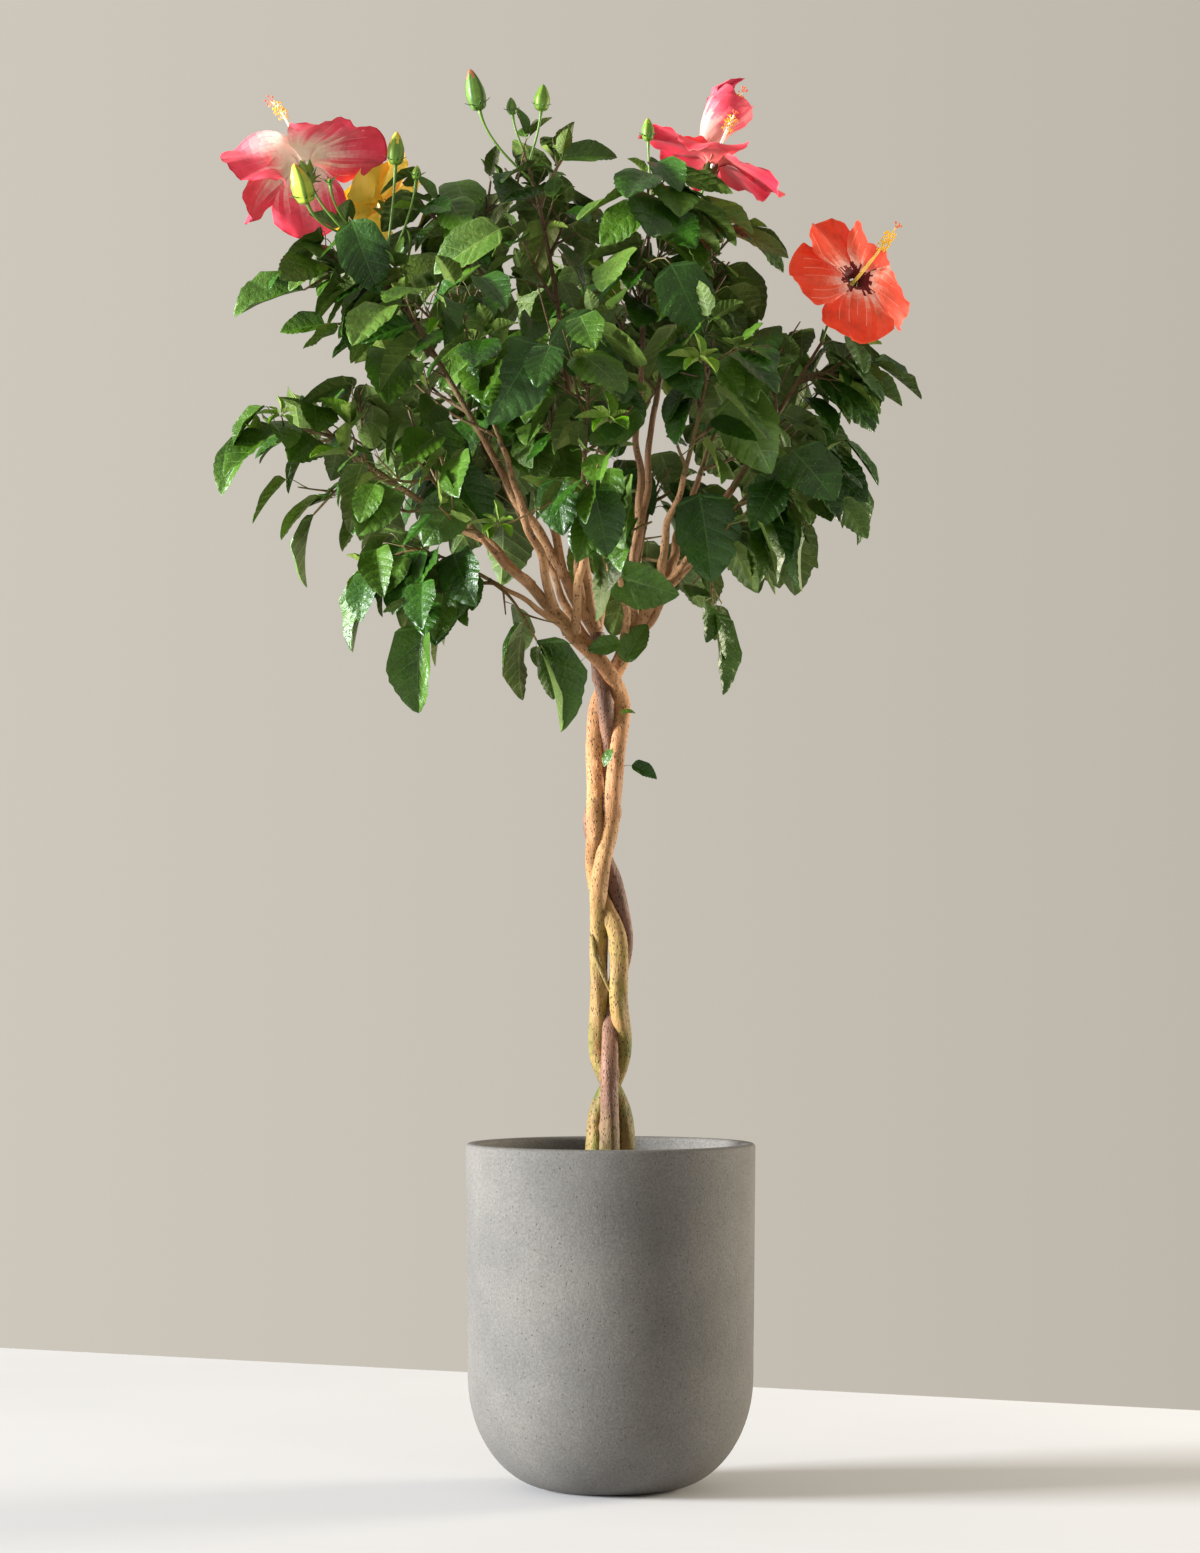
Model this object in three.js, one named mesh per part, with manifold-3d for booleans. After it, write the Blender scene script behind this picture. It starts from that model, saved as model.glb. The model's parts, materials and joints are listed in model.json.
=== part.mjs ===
// A hibiscus tree with three braided stems, standing in a round-bottomed grey pot.
// Millimetres, +Z up. The origin is the centre of the pot's flat underside, and the plant is seen
// from the front along +Y, with +X to the right.

import * as THREE from 'three';
import { mergeVertices } from 'three/addons/utils/BufferGeometryUtils.js';
import Module from 'manifold-3d';

const wasm = await Module();
wasm.setup();
const { Manifold, Mesh: SolidMesh } = wasm;

// Driving dimensions.

const GAP = 0.3;
const GOLDEN_ANGLE = 137.508;

const POT = {
  height: 355,
  rimRadius: 150,
  waistRadius: 147.5,
  cornerHeight: 116,
  footRadius: 58,
  wall: 14,
  lip: 4,
  floor: 26,
  facets: 30,
};

const SOIL = { top: 325, crown: 52, sink: 4, clear: 2, facets: 20 };

const FORK_HEIGHT = 884;
const BRAID_LEVELS = [
  SOIL.top + GAP, 385, 445, 505, 565, 625, 685, 735, 775, 812, 848, FORK_HEIGHT,
];

// Places in the braid's round, as offsets across and in depth from the middle of the trunk.
const PLACES = {
  front: [-1, -11.5],
  frontLeft: [-6, -10],
  leftFront: [-8, -8],
  left: [-12, 3],
  wideLeft: [-16, 1],
  leftBack: [-12, 8],
  backLeft: [-1, 9],
  back: [3, 11],
  backRight: [7, 10],
  rightBack: [15, 8],
  right: [12, 3],
  wideRight: [10, -5],
  rightFront: [8, -8],
  centre: [-2, -1],
  leftFork: [-42, -8],
  middleFork: [-14, 11],
  rightFork: [24, 0],
};

const STEMS = {
  stem_left: {
    radius: 8.8,
    route: ['right', 'right', 'leftBack', 'left', 'left', 'leftFront', 'rightFront', 'rightFront',
      'wideRight', 'right', 'frontLeft', 'leftFork'],
  },
  stem_right: {
    radius: 9,
    route: ['left', 'left', 'right', 'rightFront', 'rightFront', 'leftBack', 'leftFront', 'left',
      'wideLeft', 'leftBack', 'backRight', 'rightFork'],
  },
  stem_dark: {
    radius: 8.4,
    route: ['front', 'front', 'front', 'back', 'rightBack', 'backRight', 'leftBack', 'backLeft',
      'centre', 'frontLeft', 'leftBack', 'middleFork'],
  },
};

const STEM_SIDES = 7;
const STEM_STEPS = 18;
const STEM_THINNING = 0.14;
const FOOT_FLARE = { share: 0.34, height: 34, spread: 0.22 };
const TRUNK_BEND = { shift: -8, height: 682, span: 62 };

// Each limb leaves its parent at a share of the parent's length, and its tip is given by azimuth
// (0 to the right, -90 to the front), reach from the pot's axis and height. leave and arrive are
// its slopes at both ends in degrees, girth its first radius. The share called bare is the bough,
// and the rest is the stem of the leaf mass at its end. shoots and spread are the side twigs'
// number and length, and lush is the number of leaves tried along each.
const LIMBS = [
  { name: 'left_outer', from: 'stem_left', at: 1, azimuth: 178, reach: 326, height: 1126,
    leave: 58, arrive: 50, girth: 7.4, bare: 0.5, shoots: 4, spread: 72, lush: 4, seed: 411 },
  { name: 'left_low', from: 'stem_left', at: 0.97, azimuth: -161, reach: 226, height: 968,
    leave: 34, arrive: 8, girth: 4.4, bare: 0.48, shoots: 3, spread: 71, lush: 5, seed: 3312 },
  { name: 'left_inner', from: 'left_outer', at: 0.17, azimuth: -149, reach: 236, height: 1060,
    leave: 30, arrive: 44, girth: 5, bare: 0.4, shoots: 4, spread: 109, lush: 5, seed: 3213 },
  { name: 'upper_left', from: 'stem_dark', at: 1, azimuth: -174, reach: 262, height: 1296,
    leave: 58, arrive: 56, girth: 6.8, bare: 0.52, shoots: 4, spread: 100, lush: 5, seed: 114 },
  { name: 'top', from: 'stem_dark', at: 0.985, azimuth: 178, reach: 92, height: 1392,
    leave: 80, arrive: 72, girth: 6.2, bare: 0.56, shoots: 4, spread: 71, lush: 6, seed: 315 },
  { name: 'right', from: 'stem_right', at: 1, azimuth: 1, reach: 222, height: 1190,
    leave: 52, arrive: 58, girth: 7, bare: 0.5, shoots: 4, spread: 101, lush: 5, seed: 2316 },
  { name: 'right_mid', from: 'right', at: 0.22, azimuth: 16, reach: 216, height: 1094,
    leave: 42, arrive: 36, girth: 5, bare: 0.44, shoots: 4, spread: 73, lush: 5, seed: 317 },
  { name: 'right_low', from: 'stem_right', at: 0.965, azimuth: -16, reach: 212, height: 1040,
    leave: 52, arrive: 18, girth: 5, bare: 0.46, shoots: 3, spread: 71, lush: 5, seed: 3318 },
  { name: 'upper_right', from: 'stem_right', at: 0.985, azimuth: 20, reach: 112, height: 1318,
    leave: 84, arrive: 62, girth: 6, bare: 0.54, shoots: 4, spread: 98, lush: 6, seed: 119 },
  { name: 'front_right', from: 'right', at: 0.1, azimuth: -60, reach: 206, height: 1166,
    leave: 62, arrive: 64, girth: 5.4, bare: 0.5, shoots: 4, spread: 82, lush: 6, seed: 1520 },
  { name: 'front', from: 'stem_left', at: 0.985, azimuth: -96, reach: 200, height: 1160,
    leave: 66, arrive: 62, girth: 5.6, bare: 0.5, shoots: 4, spread: 98, lush: 6, seed: 421 },
  { name: 'front_left', from: 'left_outer', at: 0.08, azimuth: -132, reach: 240, height: 1212,
    leave: 66, arrive: 60, girth: 5.6, bare: 0.52, shoots: 4, spread: 112, lush: 6, seed: 222 },
  { name: 'front_low', from: 'stem_right', at: 0.975, azimuth: -94, reach: 214, height: 1026,
    leave: 44, arrive: 20, girth: 4.6, bare: 0.46, shoots: 3, spread: 101, lush: 6, seed: 1123 },
  { name: 'back', from: 'stem_dark', at: 0.97, azimuth: 90, reach: 184, height: 1270,
    leave: 70, arrive: 60, girth: 6, bare: 0.52, shoots: 5, spread: 115, lush: 6, seed: 1724 },
  { name: 'back_left', from: 'stem_dark', at: 0.955, azimuth: 134, reach: 256, height: 1160,
    leave: 50, arrive: 46, girth: 5.8, bare: 0.5, shoots: 4, spread: 113, lush: 6, seed: 2925 },
  { name: 'back_right', from: 'right', at: 0.14, azimuth: 56, reach: 242, height: 1186,
    leave: 54, arrive: 52, girth: 5.8, bare: 0.5, shoots: 4, spread: 113, lush: 6, seed: 2026 },
  { name: 'back_low', from: 'stem_right', at: 0.95, azimuth: 76, reach: 222, height: 1064,
    leave: 40, arrive: 20, girth: 4.8, bare: 0.46, shoots: 3, spread: 92, lush: 5, seed: 2527 },
  { name: 'upper_mid', from: 'upper_left', at: 0.14, azimuth: 168, reach: 172, height: 1350,
    leave: 78, arrive: 68, girth: 5.2, bare: 0.62, shoots: 4, spread: 99, lush: 6, seed: 2628 },
  { name: 'upper_front', from: 'upper_right', at: 0.1, azimuth: -64, reach: 98, height: 1334,
    leave: 80, arrive: 66, girth: 5.2, bare: 0.58, shoots: 4, spread: 78, lush: 6, seed: 3029 },
  { name: 'middle', from: 'upper_left', at: 0.05, azimuth: -142, reach: 112, height: 1184,
    leave: 80, arrive: 68, girth: 5, bare: 0.5, shoots: 5, spread: 71, lush: 6, seed: 2130 },
];

// Long twigs whose end leaf stands out of the crown's outline. Each leaves a leaf mass's stem at a
// share of it. end is where its last leaf's blade begins, tip where that leaf ends, and roll how
// far it is turned about its midrib.
const TRAILERS = [
  { limb: 'left_outer', at: 0.72, end: [-373, 2, 1085], tip: [-413, -4, 1032], roll: -45 },
  { limb: 'left_outer', at: 0.42, end: [-310, 26, 1010], tip: [-339, 34, 937], roll: -20 },
  { limb: 'upper_left', at: 0.8, end: [-318, -24, 1238], tip: [-396, -30, 1223], roll: -50 },
  { limb: 'left_low', at: 0.8, end: [-242, -70, 944], tip: [-272, -76, 861], roll: -30 },
  { limb: 'left_low', at: 0.55, end: [-189, -108, 885], tip: [-208, -116, 795], roll: -40 },
  { limb: 'left_low', at: 0.12, end: [-76, -62, 872], tip: [-35, -70, 782], roll: 40 },
  { limb: 'right_low', at: 0.1, end: [105, -34, 903], tip: [124, -38, 818], roll: 15 },
  { limb: 'right_low', at: 0.7, end: [201, -50, 997], tip: [182, -54, 924], roll: -30 },
  { limb: 'right_mid', at: 0.9, end: [245, 66, 1052], tip: [276, 64, 984], roll: 45 },
  { limb: 'right', at: 0.75, end: [249, 0, 1147], tip: [307, -8, 1128], roll: 40 },
  { limb: 'top', at: 0.7, end: [-51, 15, 1380], tip: [8, 20, 1394], roll: 50 },
  { limb: 'upper_left', at: 0.35, end: [-296, -20, 1203], tip: [-343, -24, 1196], roll: -55 },
];

const BOUGH_SIDES = 5;
const BOUGH_STEPS = 4;
const TIP_SHARE = 0.5;
const STALK_STEPS = 4;
const STALK_SHARE = 0.85;

const TWIG = {
  radius: 2,
  steps: 2,
  sides: 3,
  first: 0.06,
  span: 0.86,
  turnWander: 40,
  opening: 52,
  wander: 14,
  outward: 0.25,
  shortest: 0.8,
  longest: 1.15,
  shortening: 0.42,
  bend: 0.55,
  straight: 0.66,
  lift: 0.24,
  tries: 7,
  retryTurn: 51,
  retryLength: 0.93,
  trailerRise: 0.16,
  trailerRoot: 0.86,
  tipShare: 0.65,
  rootShare: 0.3,
};

const LEAF = {
  shortest: 70,
  longest: 102,
  widthShare: 0.78,
  widest: 0.38,
  stalkShortest: 14,
  stalkLongest: 32,
  stalkRadius: 0.9,
  sunk: 0.9,
  thickness: 1.7,
  tipFall: 0.13,
  edgeRise: 0.05,
  droopTop: 14,
  droopLow: 58,
  turn: 58,
  wander: 20,
  roll: 42,
  first: 0.1,
  last: 0.96,
  endShare: 0.86,
  extraOnStem: 2,
  tries: 9,
  retryTurn: 63,
  retryLength: 0.96,
};

// How far a leaf's stalk turns away from the twig, along it, outward from the crown and upward.
const STALK_PULL = { away: 0.8, along: 0.5, outward: 0.3, up: 0.2 };

const CROWN = { x: -40, y: 0, low: 900, high: 1420, heart: 1040 };
const SITE = { share: 0.55, outward: 22 };
const SPACE_MARGIN = 0.8;
const LIMB_CLEARANCE = 1.6;

// Openings in the crown, as they show from the front. Sky shows through the first kind, given by
// their middles across and in height at the pot's depth, and by their radius. The second kind
// keeps a limb free of leaves in front of it, between two shares of its length.
const VIEW = { x: -11, z: 583, distance: 4500 };
const SKY = [
  [-170, 1380, 26], [-110, 1485, 32], [-15, 1355, 18], [75, 1415, 14], [125, 1485, 28],
  [150, 1390, 20], [185, 1315, 22], [320, 1275, 30], [140, 1275, 16], [185, 1220, 20],
  [320, 1170, 26], [265, 1090, 16], [230, 980, 22], [135, 920, 20], [75, 895, 22],
  [50, 990, 14], [-5, 820, 26], [-70, 780, 24], [-65, 885, 14], [-125, 895, 22],
  [-235, 875, 20], [-305, 935, 22], [-305, 990, 20], [-315, 1040, 20], [-350, 1055, 14],
  [-345, 1165, 28], [-330, 1225, 20], [-385, 1275, 24],
];
const SHOWN = [
  ['left_outer', 0.02, 0.72], ['upper_left', 0.26, 0.66], ['top', 0.5, 0.92], ['right', 0, 0.34],
  ['right', 0.78, 0.98], ['left_low', 0.1, 0.46], ['upper_right', 0.05, 0.2],
  ['front_right', 0, 0.3], ['front', 0, 0.24], ['top', 0, 0.14], ['upper_mid', 0, 0.12],
];
const SHOWN_ROOM = 7;
const SHOWN_STEPS = 16;

// Open flowers and the one that closes. Each hangs on a stalk that leaves a leaf mass's stem, and
// the flower's middle is given across, in depth and in height. facing is the azimuth and slope of
// its axis. Each petal is a turn round that axis and the angle its tip opens to.
const BLOOMS = [
  { name: 'bloom_coral', limb: 'upper_left', at: 0.93, middle: [-317, -30, 1367], facing: [160, 60],
    petal: 84, width: 66, column: 74, colour: '#e1506a',
    petals: [[301, 113], [205, 87], [141, 90], [77, 113], [16, 110]] },
  { name: 'bloom_yellow', limb: 'upper_left', at: 0.86, middle: [-243, 62, 1340], facing: [150, 34],
    petal: 42, width: 44, column: 34, colour: '#f0c232',
    petals: [[20, 84], [92, 84], [164, 84], [236, 84], [308, 84]] },
  { name: 'bloom_pink', limb: 'upper_right', at: 0.99, middle: [106, 0, 1371], facing: [39, 64],
    petal: 84, width: 64, column: 62, colour: '#f7556a',
    petals: [[38, 108], [106, 80], [170, 95], [246, 108], [318, 104]] },
  { name: 'bloom_closing', limb: 'upper_right', at: 0.9, middle: [98, 100, 1410], facing: [10, 56],
    petal: 62, width: 44, column: 76, colour: '#ee5d7c' },
  { name: 'bloom_orange', limb: 'right', at: 0.99, middle: [250, -36, 1243], facing: [-64, 24],
    petal: 72, width: 62, column: 70, colour: '#ee5747',
    petals: [[229, 106], [293, 85], [357, 98], [80, 98], [157, 108]] },
];

// A flower's own sizes. above and below are how far leaves keep from the plane of its petals.
const BLOOM = {
  throat: 7,
  throatHeight: 16,
  cup: 18,
  above: 26,
  below: 22,
  clear: 6,
  calyxRadius: 7.5,
  calyxHeight: 24,
  stalkRadius: 1.8,
  sheet: 1.7,
  ruffle: 5,
  columnRadius: 2,
  antherRadius: 5,
  sides: 5,
};

// Flower buds, each on its own stalk from a leaf mass's stem. tip is the top of the bud.
const BUDS = [
  { name: 'bud_tall', limb: 'top', at: 0.93, tip: [-146, -6, 1470], length: 42, radius: 9.5 },
  { name: 'bud_middle', limb: 'top', at: 0.99, tip: [-104, 6, 1443], length: 16, radius: 5 },
  { name: 'bud_short', limb: 'top', at: 0.96, tip: [-70, -4, 1455], length: 26, radius: 8 },
  { name: 'bud_coral', limb: 'upper_left', at: 0.985, tip: [-322, -78, 1352], length: 34, radius: 9 },
  { name: 'bud_gold', limb: 'upper_left', at: 0.9, tip: [-221, -40, 1398], length: 32, radius: 8 },
];

const COLOURS = {
  pot: '#7b756e',
  soil: '#3a2f26',
  tan: '#c49a66',
  dark: '#7d5a42',
  leaf: '#2f4d24',
  bud: '#6d9a34',
};

// Numbers, directions and paths.

const UP = new THREE.Vector3(0, 0, 1);
const ACROSS = new THREE.Vector3(1, 0, 0);
const radians = THREE.MathUtils.degToRad;
const mix = THREE.MathUtils.lerp;

function seeded(seed) {
  let state = seed >>> 0;
  return () => {
    state = (state + 0x6d2b79f5) >>> 0;
    let word = Math.imul(state ^ (state >>> 15), state | 1);
    word ^= word + Math.imul(word ^ (word >>> 7), word | 61);
    return ((word ^ (word >>> 14)) >>> 0) / 4294967296;
  };
}

function direction(azimuth, slope) {
  const a = radians(azimuth);
  const s = radians(slope);
  return new THREE.Vector3(Math.cos(s) * Math.cos(a), Math.cos(s) * Math.sin(a), Math.sin(s));
}

function step(point, heading, length) {
  return point.clone().addScaledVector(heading, length);
}

// A unit vector square to an axis, turned round it by an angle in degrees.
function square(axis, turn) {
  const guide = Math.abs(axis.z) > 0.95 ? ACROSS : UP;
  const first = new THREE.Vector3().crossVectors(axis, guide).normalize();
  const second = new THREE.Vector3().crossVectors(axis, first);
  const angle = radians(turn);
  return first.multiplyScalar(Math.cos(angle)).addScaledVector(second, Math.sin(angle));
}

function bezier(a, b, c, d, t) {
  const s = 1 - t;
  return new THREE.Vector3()
    .addScaledVector(a, s * s * s)
    .addScaledVector(b, 3 * s * s * t)
    .addScaledVector(c, 3 * s * t * t)
    .addScaledVector(d, t * t * t);
}

function headings(points) {
  return points.map((_, i) => {
    const before = points[Math.max(i - 1, 0)];
    const after = points[Math.min(i + 1, points.length - 1)];
    return after.clone().sub(before).normalize();
  });
}

// A place on a run of points, at a share of its length.
function placeOn(points, share) {
  const lengths = points.slice(1).map((point, i) => point.distanceTo(points[i]));
  let left = share * lengths.reduce((sum, length) => sum + length, 0);
  for (let i = 0; i < lengths.length; i += 1) {
    if (left <= lengths[i] || i === lengths.length - 1) {
      const along = points[i + 1].clone().sub(points[i]).normalize();
      return { point: step(points[i], along, Math.min(left, lengths[i])), along };
    }
    left -= lengths[i];
  }
  return null;
}

// Solids.

function solid(positions, triangles) {
  const vertProperties = new Float32Array(positions.flatMap((p) => [p.x, p.y, p.z]));
  const triVerts = new Uint32Array(triangles.flat());
  return new Manifold(new SolidMesh({ numProp: 3, vertProperties, triVerts }));
}

function solidOf(geometry) {
  const bare = geometry.clone();
  bare.deleteAttribute('normal');
  bare.deleteAttribute('uv');
  const merged = mergeVertices(bare, 1e-4);
  const vertProperties = new Float32Array(merged.attributes.position.array);
  const triVerts = new Uint32Array(merged.index.array);
  return new Manifold(new SolidMesh({ numProp: 3, vertProperties, triVerts }));
}

// The largest piece of a solid alone, without scraps and without sealed hollows.
function largest(shape) {
  const pieces = shape.decompose();
  return pieces.reduce((best, piece) => (piece.volume() > best.volume() ? piece : best));
}

function joined(shapes) {
  return largest(shapes.reduce((whole, shape) => whole.add(shape)));
}

// A closed skin over rings of points. A ring of one point is a tip.
function skinned(rings) {
  const positions = rings.flat();
  const triangles = [];
  let first = 0;
  for (let i = 0; i + 1 < rings.length; i += 1) {
    const count = Math.max(rings[i].length, rings[i + 1].length);
    const next = first + rings[i].length;
    for (let j = 0; j < count; j += 1) {
      const k = (j + 1) % count;
      const low = rings[i].length === 1 ? [first, first] : [first + j, first + k];
      const high = rings[i + 1].length === 1 ? [next, next] : [next + j, next + k];
      if (low[0] !== low[1]) {
        triangles.push([low[0], low[1], high[1]]);
      }
      if (high[0] !== high[1]) {
        triangles.push([low[0], high[1], high[0]]);
      }
    }
    first = next;
  }
  const start = rings[0].length;
  for (let j = 1; j + 1 < start; j += 1) {
    triangles.push([0, j + 1, j]);
  }
  const end = rings[rings.length - 1].length;
  const endFirst = positions.length - end;
  for (let j = 1; j + 1 < end; j += 1) {
    triangles.push([endFirst, endFirst + j, endFirst + j + 1]);
  }
  return solid(positions, triangles);
}

// Rings round a run of points, carried along it without twist.
function tube(points, radii, sides) {
  const along = headings(points);
  let side = square(along[0], 0);
  const rings = points.map((point, i) => {
    side = side.clone().addScaledVector(along[i], -side.dot(along[i])).normalize();
    const other = new THREE.Vector3().crossVectors(along[i], side);
    return Array.from({ length: sides }, (_, j) => {
      const angle = (2 * Math.PI * j) / sides;
      const round = side.clone().multiplyScalar(Math.cos(angle)).addScaledVector(other, Math.sin(angle));
      return step(point, round, radii[i]);
    });
  });
  return skinned(rings);
}

// A spindle: rings about a straight axis, given as pairs of distance along it and radius.
function spindle(base, axis, profile, sides) {
  const rings = profile.map(([distance, radius]) => {
    const centre = step(base, axis, distance);
    if (radius === 0) {
      return [centre];
    }
    return Array.from({ length: sides }, (_, j) => step(centre, square(axis, (360 * j) / sides), radius));
  });
  return skinned(rings);
}

// Pot and soil.

function lathe(profile, facets) {
  const geometry = new THREE.LatheGeometry(profile.map(([r, z]) => new THREE.Vector2(r, z)), facets);
  return solidOf(geometry.rotateX(Math.PI / 2));
}

function potOutside() {
  const steps = 5;
  const corner = Array.from({ length: steps + 1 }, (_, i) => {
    const angle = (i / steps) * (Math.PI / 2);
    return [
      mix(POT.footRadius, POT.waistRadius, Math.sin(angle)),
      POT.cornerHeight * (1 - Math.cos(angle)),
    ];
  });
  return [...corner, [POT.rimRadius, POT.height - POT.lip]];
}

function potSolid() {
  const rim = [
    [POT.rimRadius - POT.lip * 0.4, POT.height - POT.lip * 0.3],
    [POT.rimRadius - POT.lip, POT.height],
    [POT.rimRadius - POT.wall + POT.lip, POT.height],
    [POT.rimRadius - POT.wall, POT.height - POT.lip],
  ];
  const inside = potInside(0);
  return lathe([[0, 0], ...potOutside(), ...rim, ...inside, [0, POT.floor]], POT.facets);
}

// The hollow's outline from the top down, drawn in by a gap where the soil follows it.
function potInside(gap) {
  const steps = 3;
  return Array.from({ length: steps + 1 }, (_, i) => {
    const angle = (1 - i / steps) * (Math.PI / 2);
    return [
      mix(POT.footRadius, POT.waistRadius, Math.sin(angle)) - POT.wall - gap,
      POT.floor + gap + (POT.cornerHeight - POT.floor) * (1 - Math.cos(angle)),
    ];
  });
}

function soilSolid() {
  const top = [
    [0, SOIL.top],
    [SOIL.crown, SOIL.top],
    [POT.waistRadius - POT.wall - SOIL.clear, SOIL.top - SOIL.sink],
  ];
  const outline = [...top, ...potInside(SOIL.clear), [0, POT.floor + GAP]];
  outline[outline.length - 2] = [POT.footRadius - POT.wall - SOIL.clear, POT.floor + GAP];
  return lathe(outline.reverse(), SOIL.facets);
}

// The braided stems.

function stemRoute(stem) {
  return new THREE.CatmullRomCurve3(BRAID_LEVELS.map((height, i) => {
    const [x, y] = PLACES[stem.route[i]];
    const spread = 1 + (i === 0 ? FOOT_FLARE.spread : 0);
    const off = (height - TRUNK_BEND.height) / TRUNK_BEND.span;
    const bend = TRUNK_BEND.shift * Math.exp(-off * off);
    return new THREE.Vector3(x * spread + bend, y * spread, height);
  }));
}

function stemRun(stem) {
  return stemRoute(stem).getPoints(STEM_STEPS);
}

function stemTube(stem, grow) {
  const points = stemRun(stem);
  const radii = points.map((point, i) => {
    const flare = FOOT_FLARE.share * Math.exp((SOIL.top - point.z) / FOOT_FLARE.height);
    return stem.radius * (1 + flare - (STEM_THINNING * i) / STEM_STEPS) + grow;
  });
  const start = points[0].clone().setZ(points[0].z - stem.radius);
  const ends = [start, ...points];
  return tube(ends, [radii[0], ...radii], STEM_SIDES);
}

function flatCut(shape) {
  return shape.trimByPlane([0, 0, 1], SOIL.top + GAP);
}

// Limbs: a path each, whose first share is the bough and whose rest is a leaf mass's stem.

const runs = {};
const girths = {};

for (const [name, stem] of Object.entries(STEMS)) {
  runs[name] = stemRun(stem);
  girths[name] = stem.radius;
}

function limbPath(limb) {
  const start = placeOn(runs[limb.from], limb.at).point;
  const tip = direction(limb.azimuth, 0).multiplyScalar(limb.reach).setZ(limb.height);
  const third = start.distanceTo(tip) / 3;
  const flat = tip.clone().sub(start).setZ(0).normalize();
  const leave = flat.clone().multiplyScalar(Math.cos(radians(limb.leave)));
  leave.addScaledVector(UP, Math.sin(radians(limb.leave)));
  const arrive = flat.clone().multiplyScalar(Math.cos(radians(limb.arrive)));
  arrive.addScaledVector(UP, Math.sin(radians(limb.arrive)));
  const early = step(start, leave, third);
  const late = step(tip, arrive, -third);
  return (t) => bezier(start, early, late, tip, t);
}

function sampled(path, from, to, steps) {
  return Array.from({ length: steps + 1 }, (_, i) => path(mix(from, to, i / steps)));
}

for (const limb of LIMBS) {
  const path = limbPath(limb);
  limb.bough = sampled(path, 0, limb.bare, BOUGH_STEPS);
  limb.stalk = sampled(path, limb.bare, 1, STALK_STEPS);
  const away = limb.stalk[1].clone().sub(limb.stalk[0]).normalize();
  limb.stalk[0].addScaledVector(away, GAP);
  limb.tipRadius = limb.girth * TIP_SHARE;
  runs[limb.name] = sampled(path, 0, 1, BOUGH_STEPS * 2);
}

function boughTube(limb, grow) {
  const last = limb.bough.length - 1;
  const radii = limb.bough.map((_, i) => mix(limb.girth, limb.tipRadius, (i / last) ** 0.8) + grow);
  return tube(limb.bough, radii, BOUGH_SIDES);
}

// Flower stalks leave a mass's stem, and end under the flower or bud.

function stalkRun(limb, at, end, axis) {
  const start = placeOn(runs[limb], at).point;
  const third = start.distanceTo(end) / 3;
  const bent = step(end, axis, -third);
  return sampled((t) => bezier(start, start.clone().lerp(bent, 0.5), bent, end, t), 0, 1, 3);
}

for (const bloom of BLOOMS) {
  bloom.axis = direction(bloom.facing[0], bloom.facing[1]);
  bloom.centre = new THREE.Vector3(...bloom.middle);
  bloom.foot = step(bloom.centre, bloom.axis, -BLOOM.calyxHeight);
  bloom.run = stalkRun(bloom.limb, bloom.at, bloom.foot, bloom.axis);
}

for (const bud of BUDS) {
  bud.top = new THREE.Vector3(...bud.tip);
  const root = placeOn(runs[bud.limb], bud.at).point;
  bud.axis = bud.top.clone().sub(root).normalize().lerp(UP, 0.55).normalize();
  bud.foot = step(bud.top, bud.axis, -bud.length);
  bud.run = stalkRun(bud.limb, bud.at, bud.foot, bud.axis);
}

// What leaves and twigs keep clear of: limbs and flower stalks as lines with a radius, and open
// flowers as discs with a thickness.

const lines = [];

function addLines(owner, points, radii) {
  for (let i = 0; i + 1 < points.length; i += 1) {
    lines.push({ owner, a: points[i], b: points[i + 1], radius: Math.max(radii[i], radii[i + 1]) });
  }
}

for (const [name, stem] of Object.entries(STEMS)) {
  addLines(name, runs[name], runs[name].map(() => stem.radius));
}
for (const limb of LIMBS) {
  const last = limb.bough.length - 1;
  addLines(limb.name, limb.bough, limb.bough.map((_, i) => mix(limb.girth, limb.tipRadius, i / last)));
  addLines(`leaves_${limb.name}`, limb.stalk, limb.stalk.map(() => limb.tipRadius));
}
for (const bloom of BLOOMS) {
  addLines(bloom.name, bloom.run.slice(1), bloom.run.slice(1).map(() => BLOOM.stalkRadius));
  addLines(bloom.name, [bloom.foot, step(bloom.centre, bloom.axis, bloom.column + 4)], [8, 8]);
}
for (const bud of BUDS) {
  addLines(bud.name, bud.run.slice(1), bud.run.slice(1).map(() => BLOOM.stalkRadius));
  addLines(bud.name, [bud.foot, bud.top], [bud.radius, bud.radius]);
}

function sitesOf(limbs) {
  const heart = new THREE.Vector3(CROWN.x, CROWN.y, CROWN.heart);
  return limbs.map((limb) => {
    const middle = placeOn(limb.stalk, SITE.share).point;
    return middle.addScaledVector(middle.clone().sub(heart).normalize(), SITE.outward);
  });
}

const sites = sitesOf(LIMBS);

// A mass's space is all that lies nearer to its own middle than to any other mass's middle.
function inSpace(index, point, margin) {
  const own = sites[index];
  return sites.every((other, i) => {
    if (i === index) {
      return true;
    }
    const between = other.clone().sub(own);
    const length = between.length();
    return point.clone().sub(own).dot(between) / length < length / 2 - margin;
  });
}

// Where a point shows from the front, as across and height at the pot's depth.
function seen(point) {
  const scale = VIEW.distance / (VIEW.distance + point.y);
  return new THREE.Vector2(
    VIEW.x + (point.x - VIEW.x) * scale,
    VIEW.z + (point.z - VIEW.z) * scale,
  );
}

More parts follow.
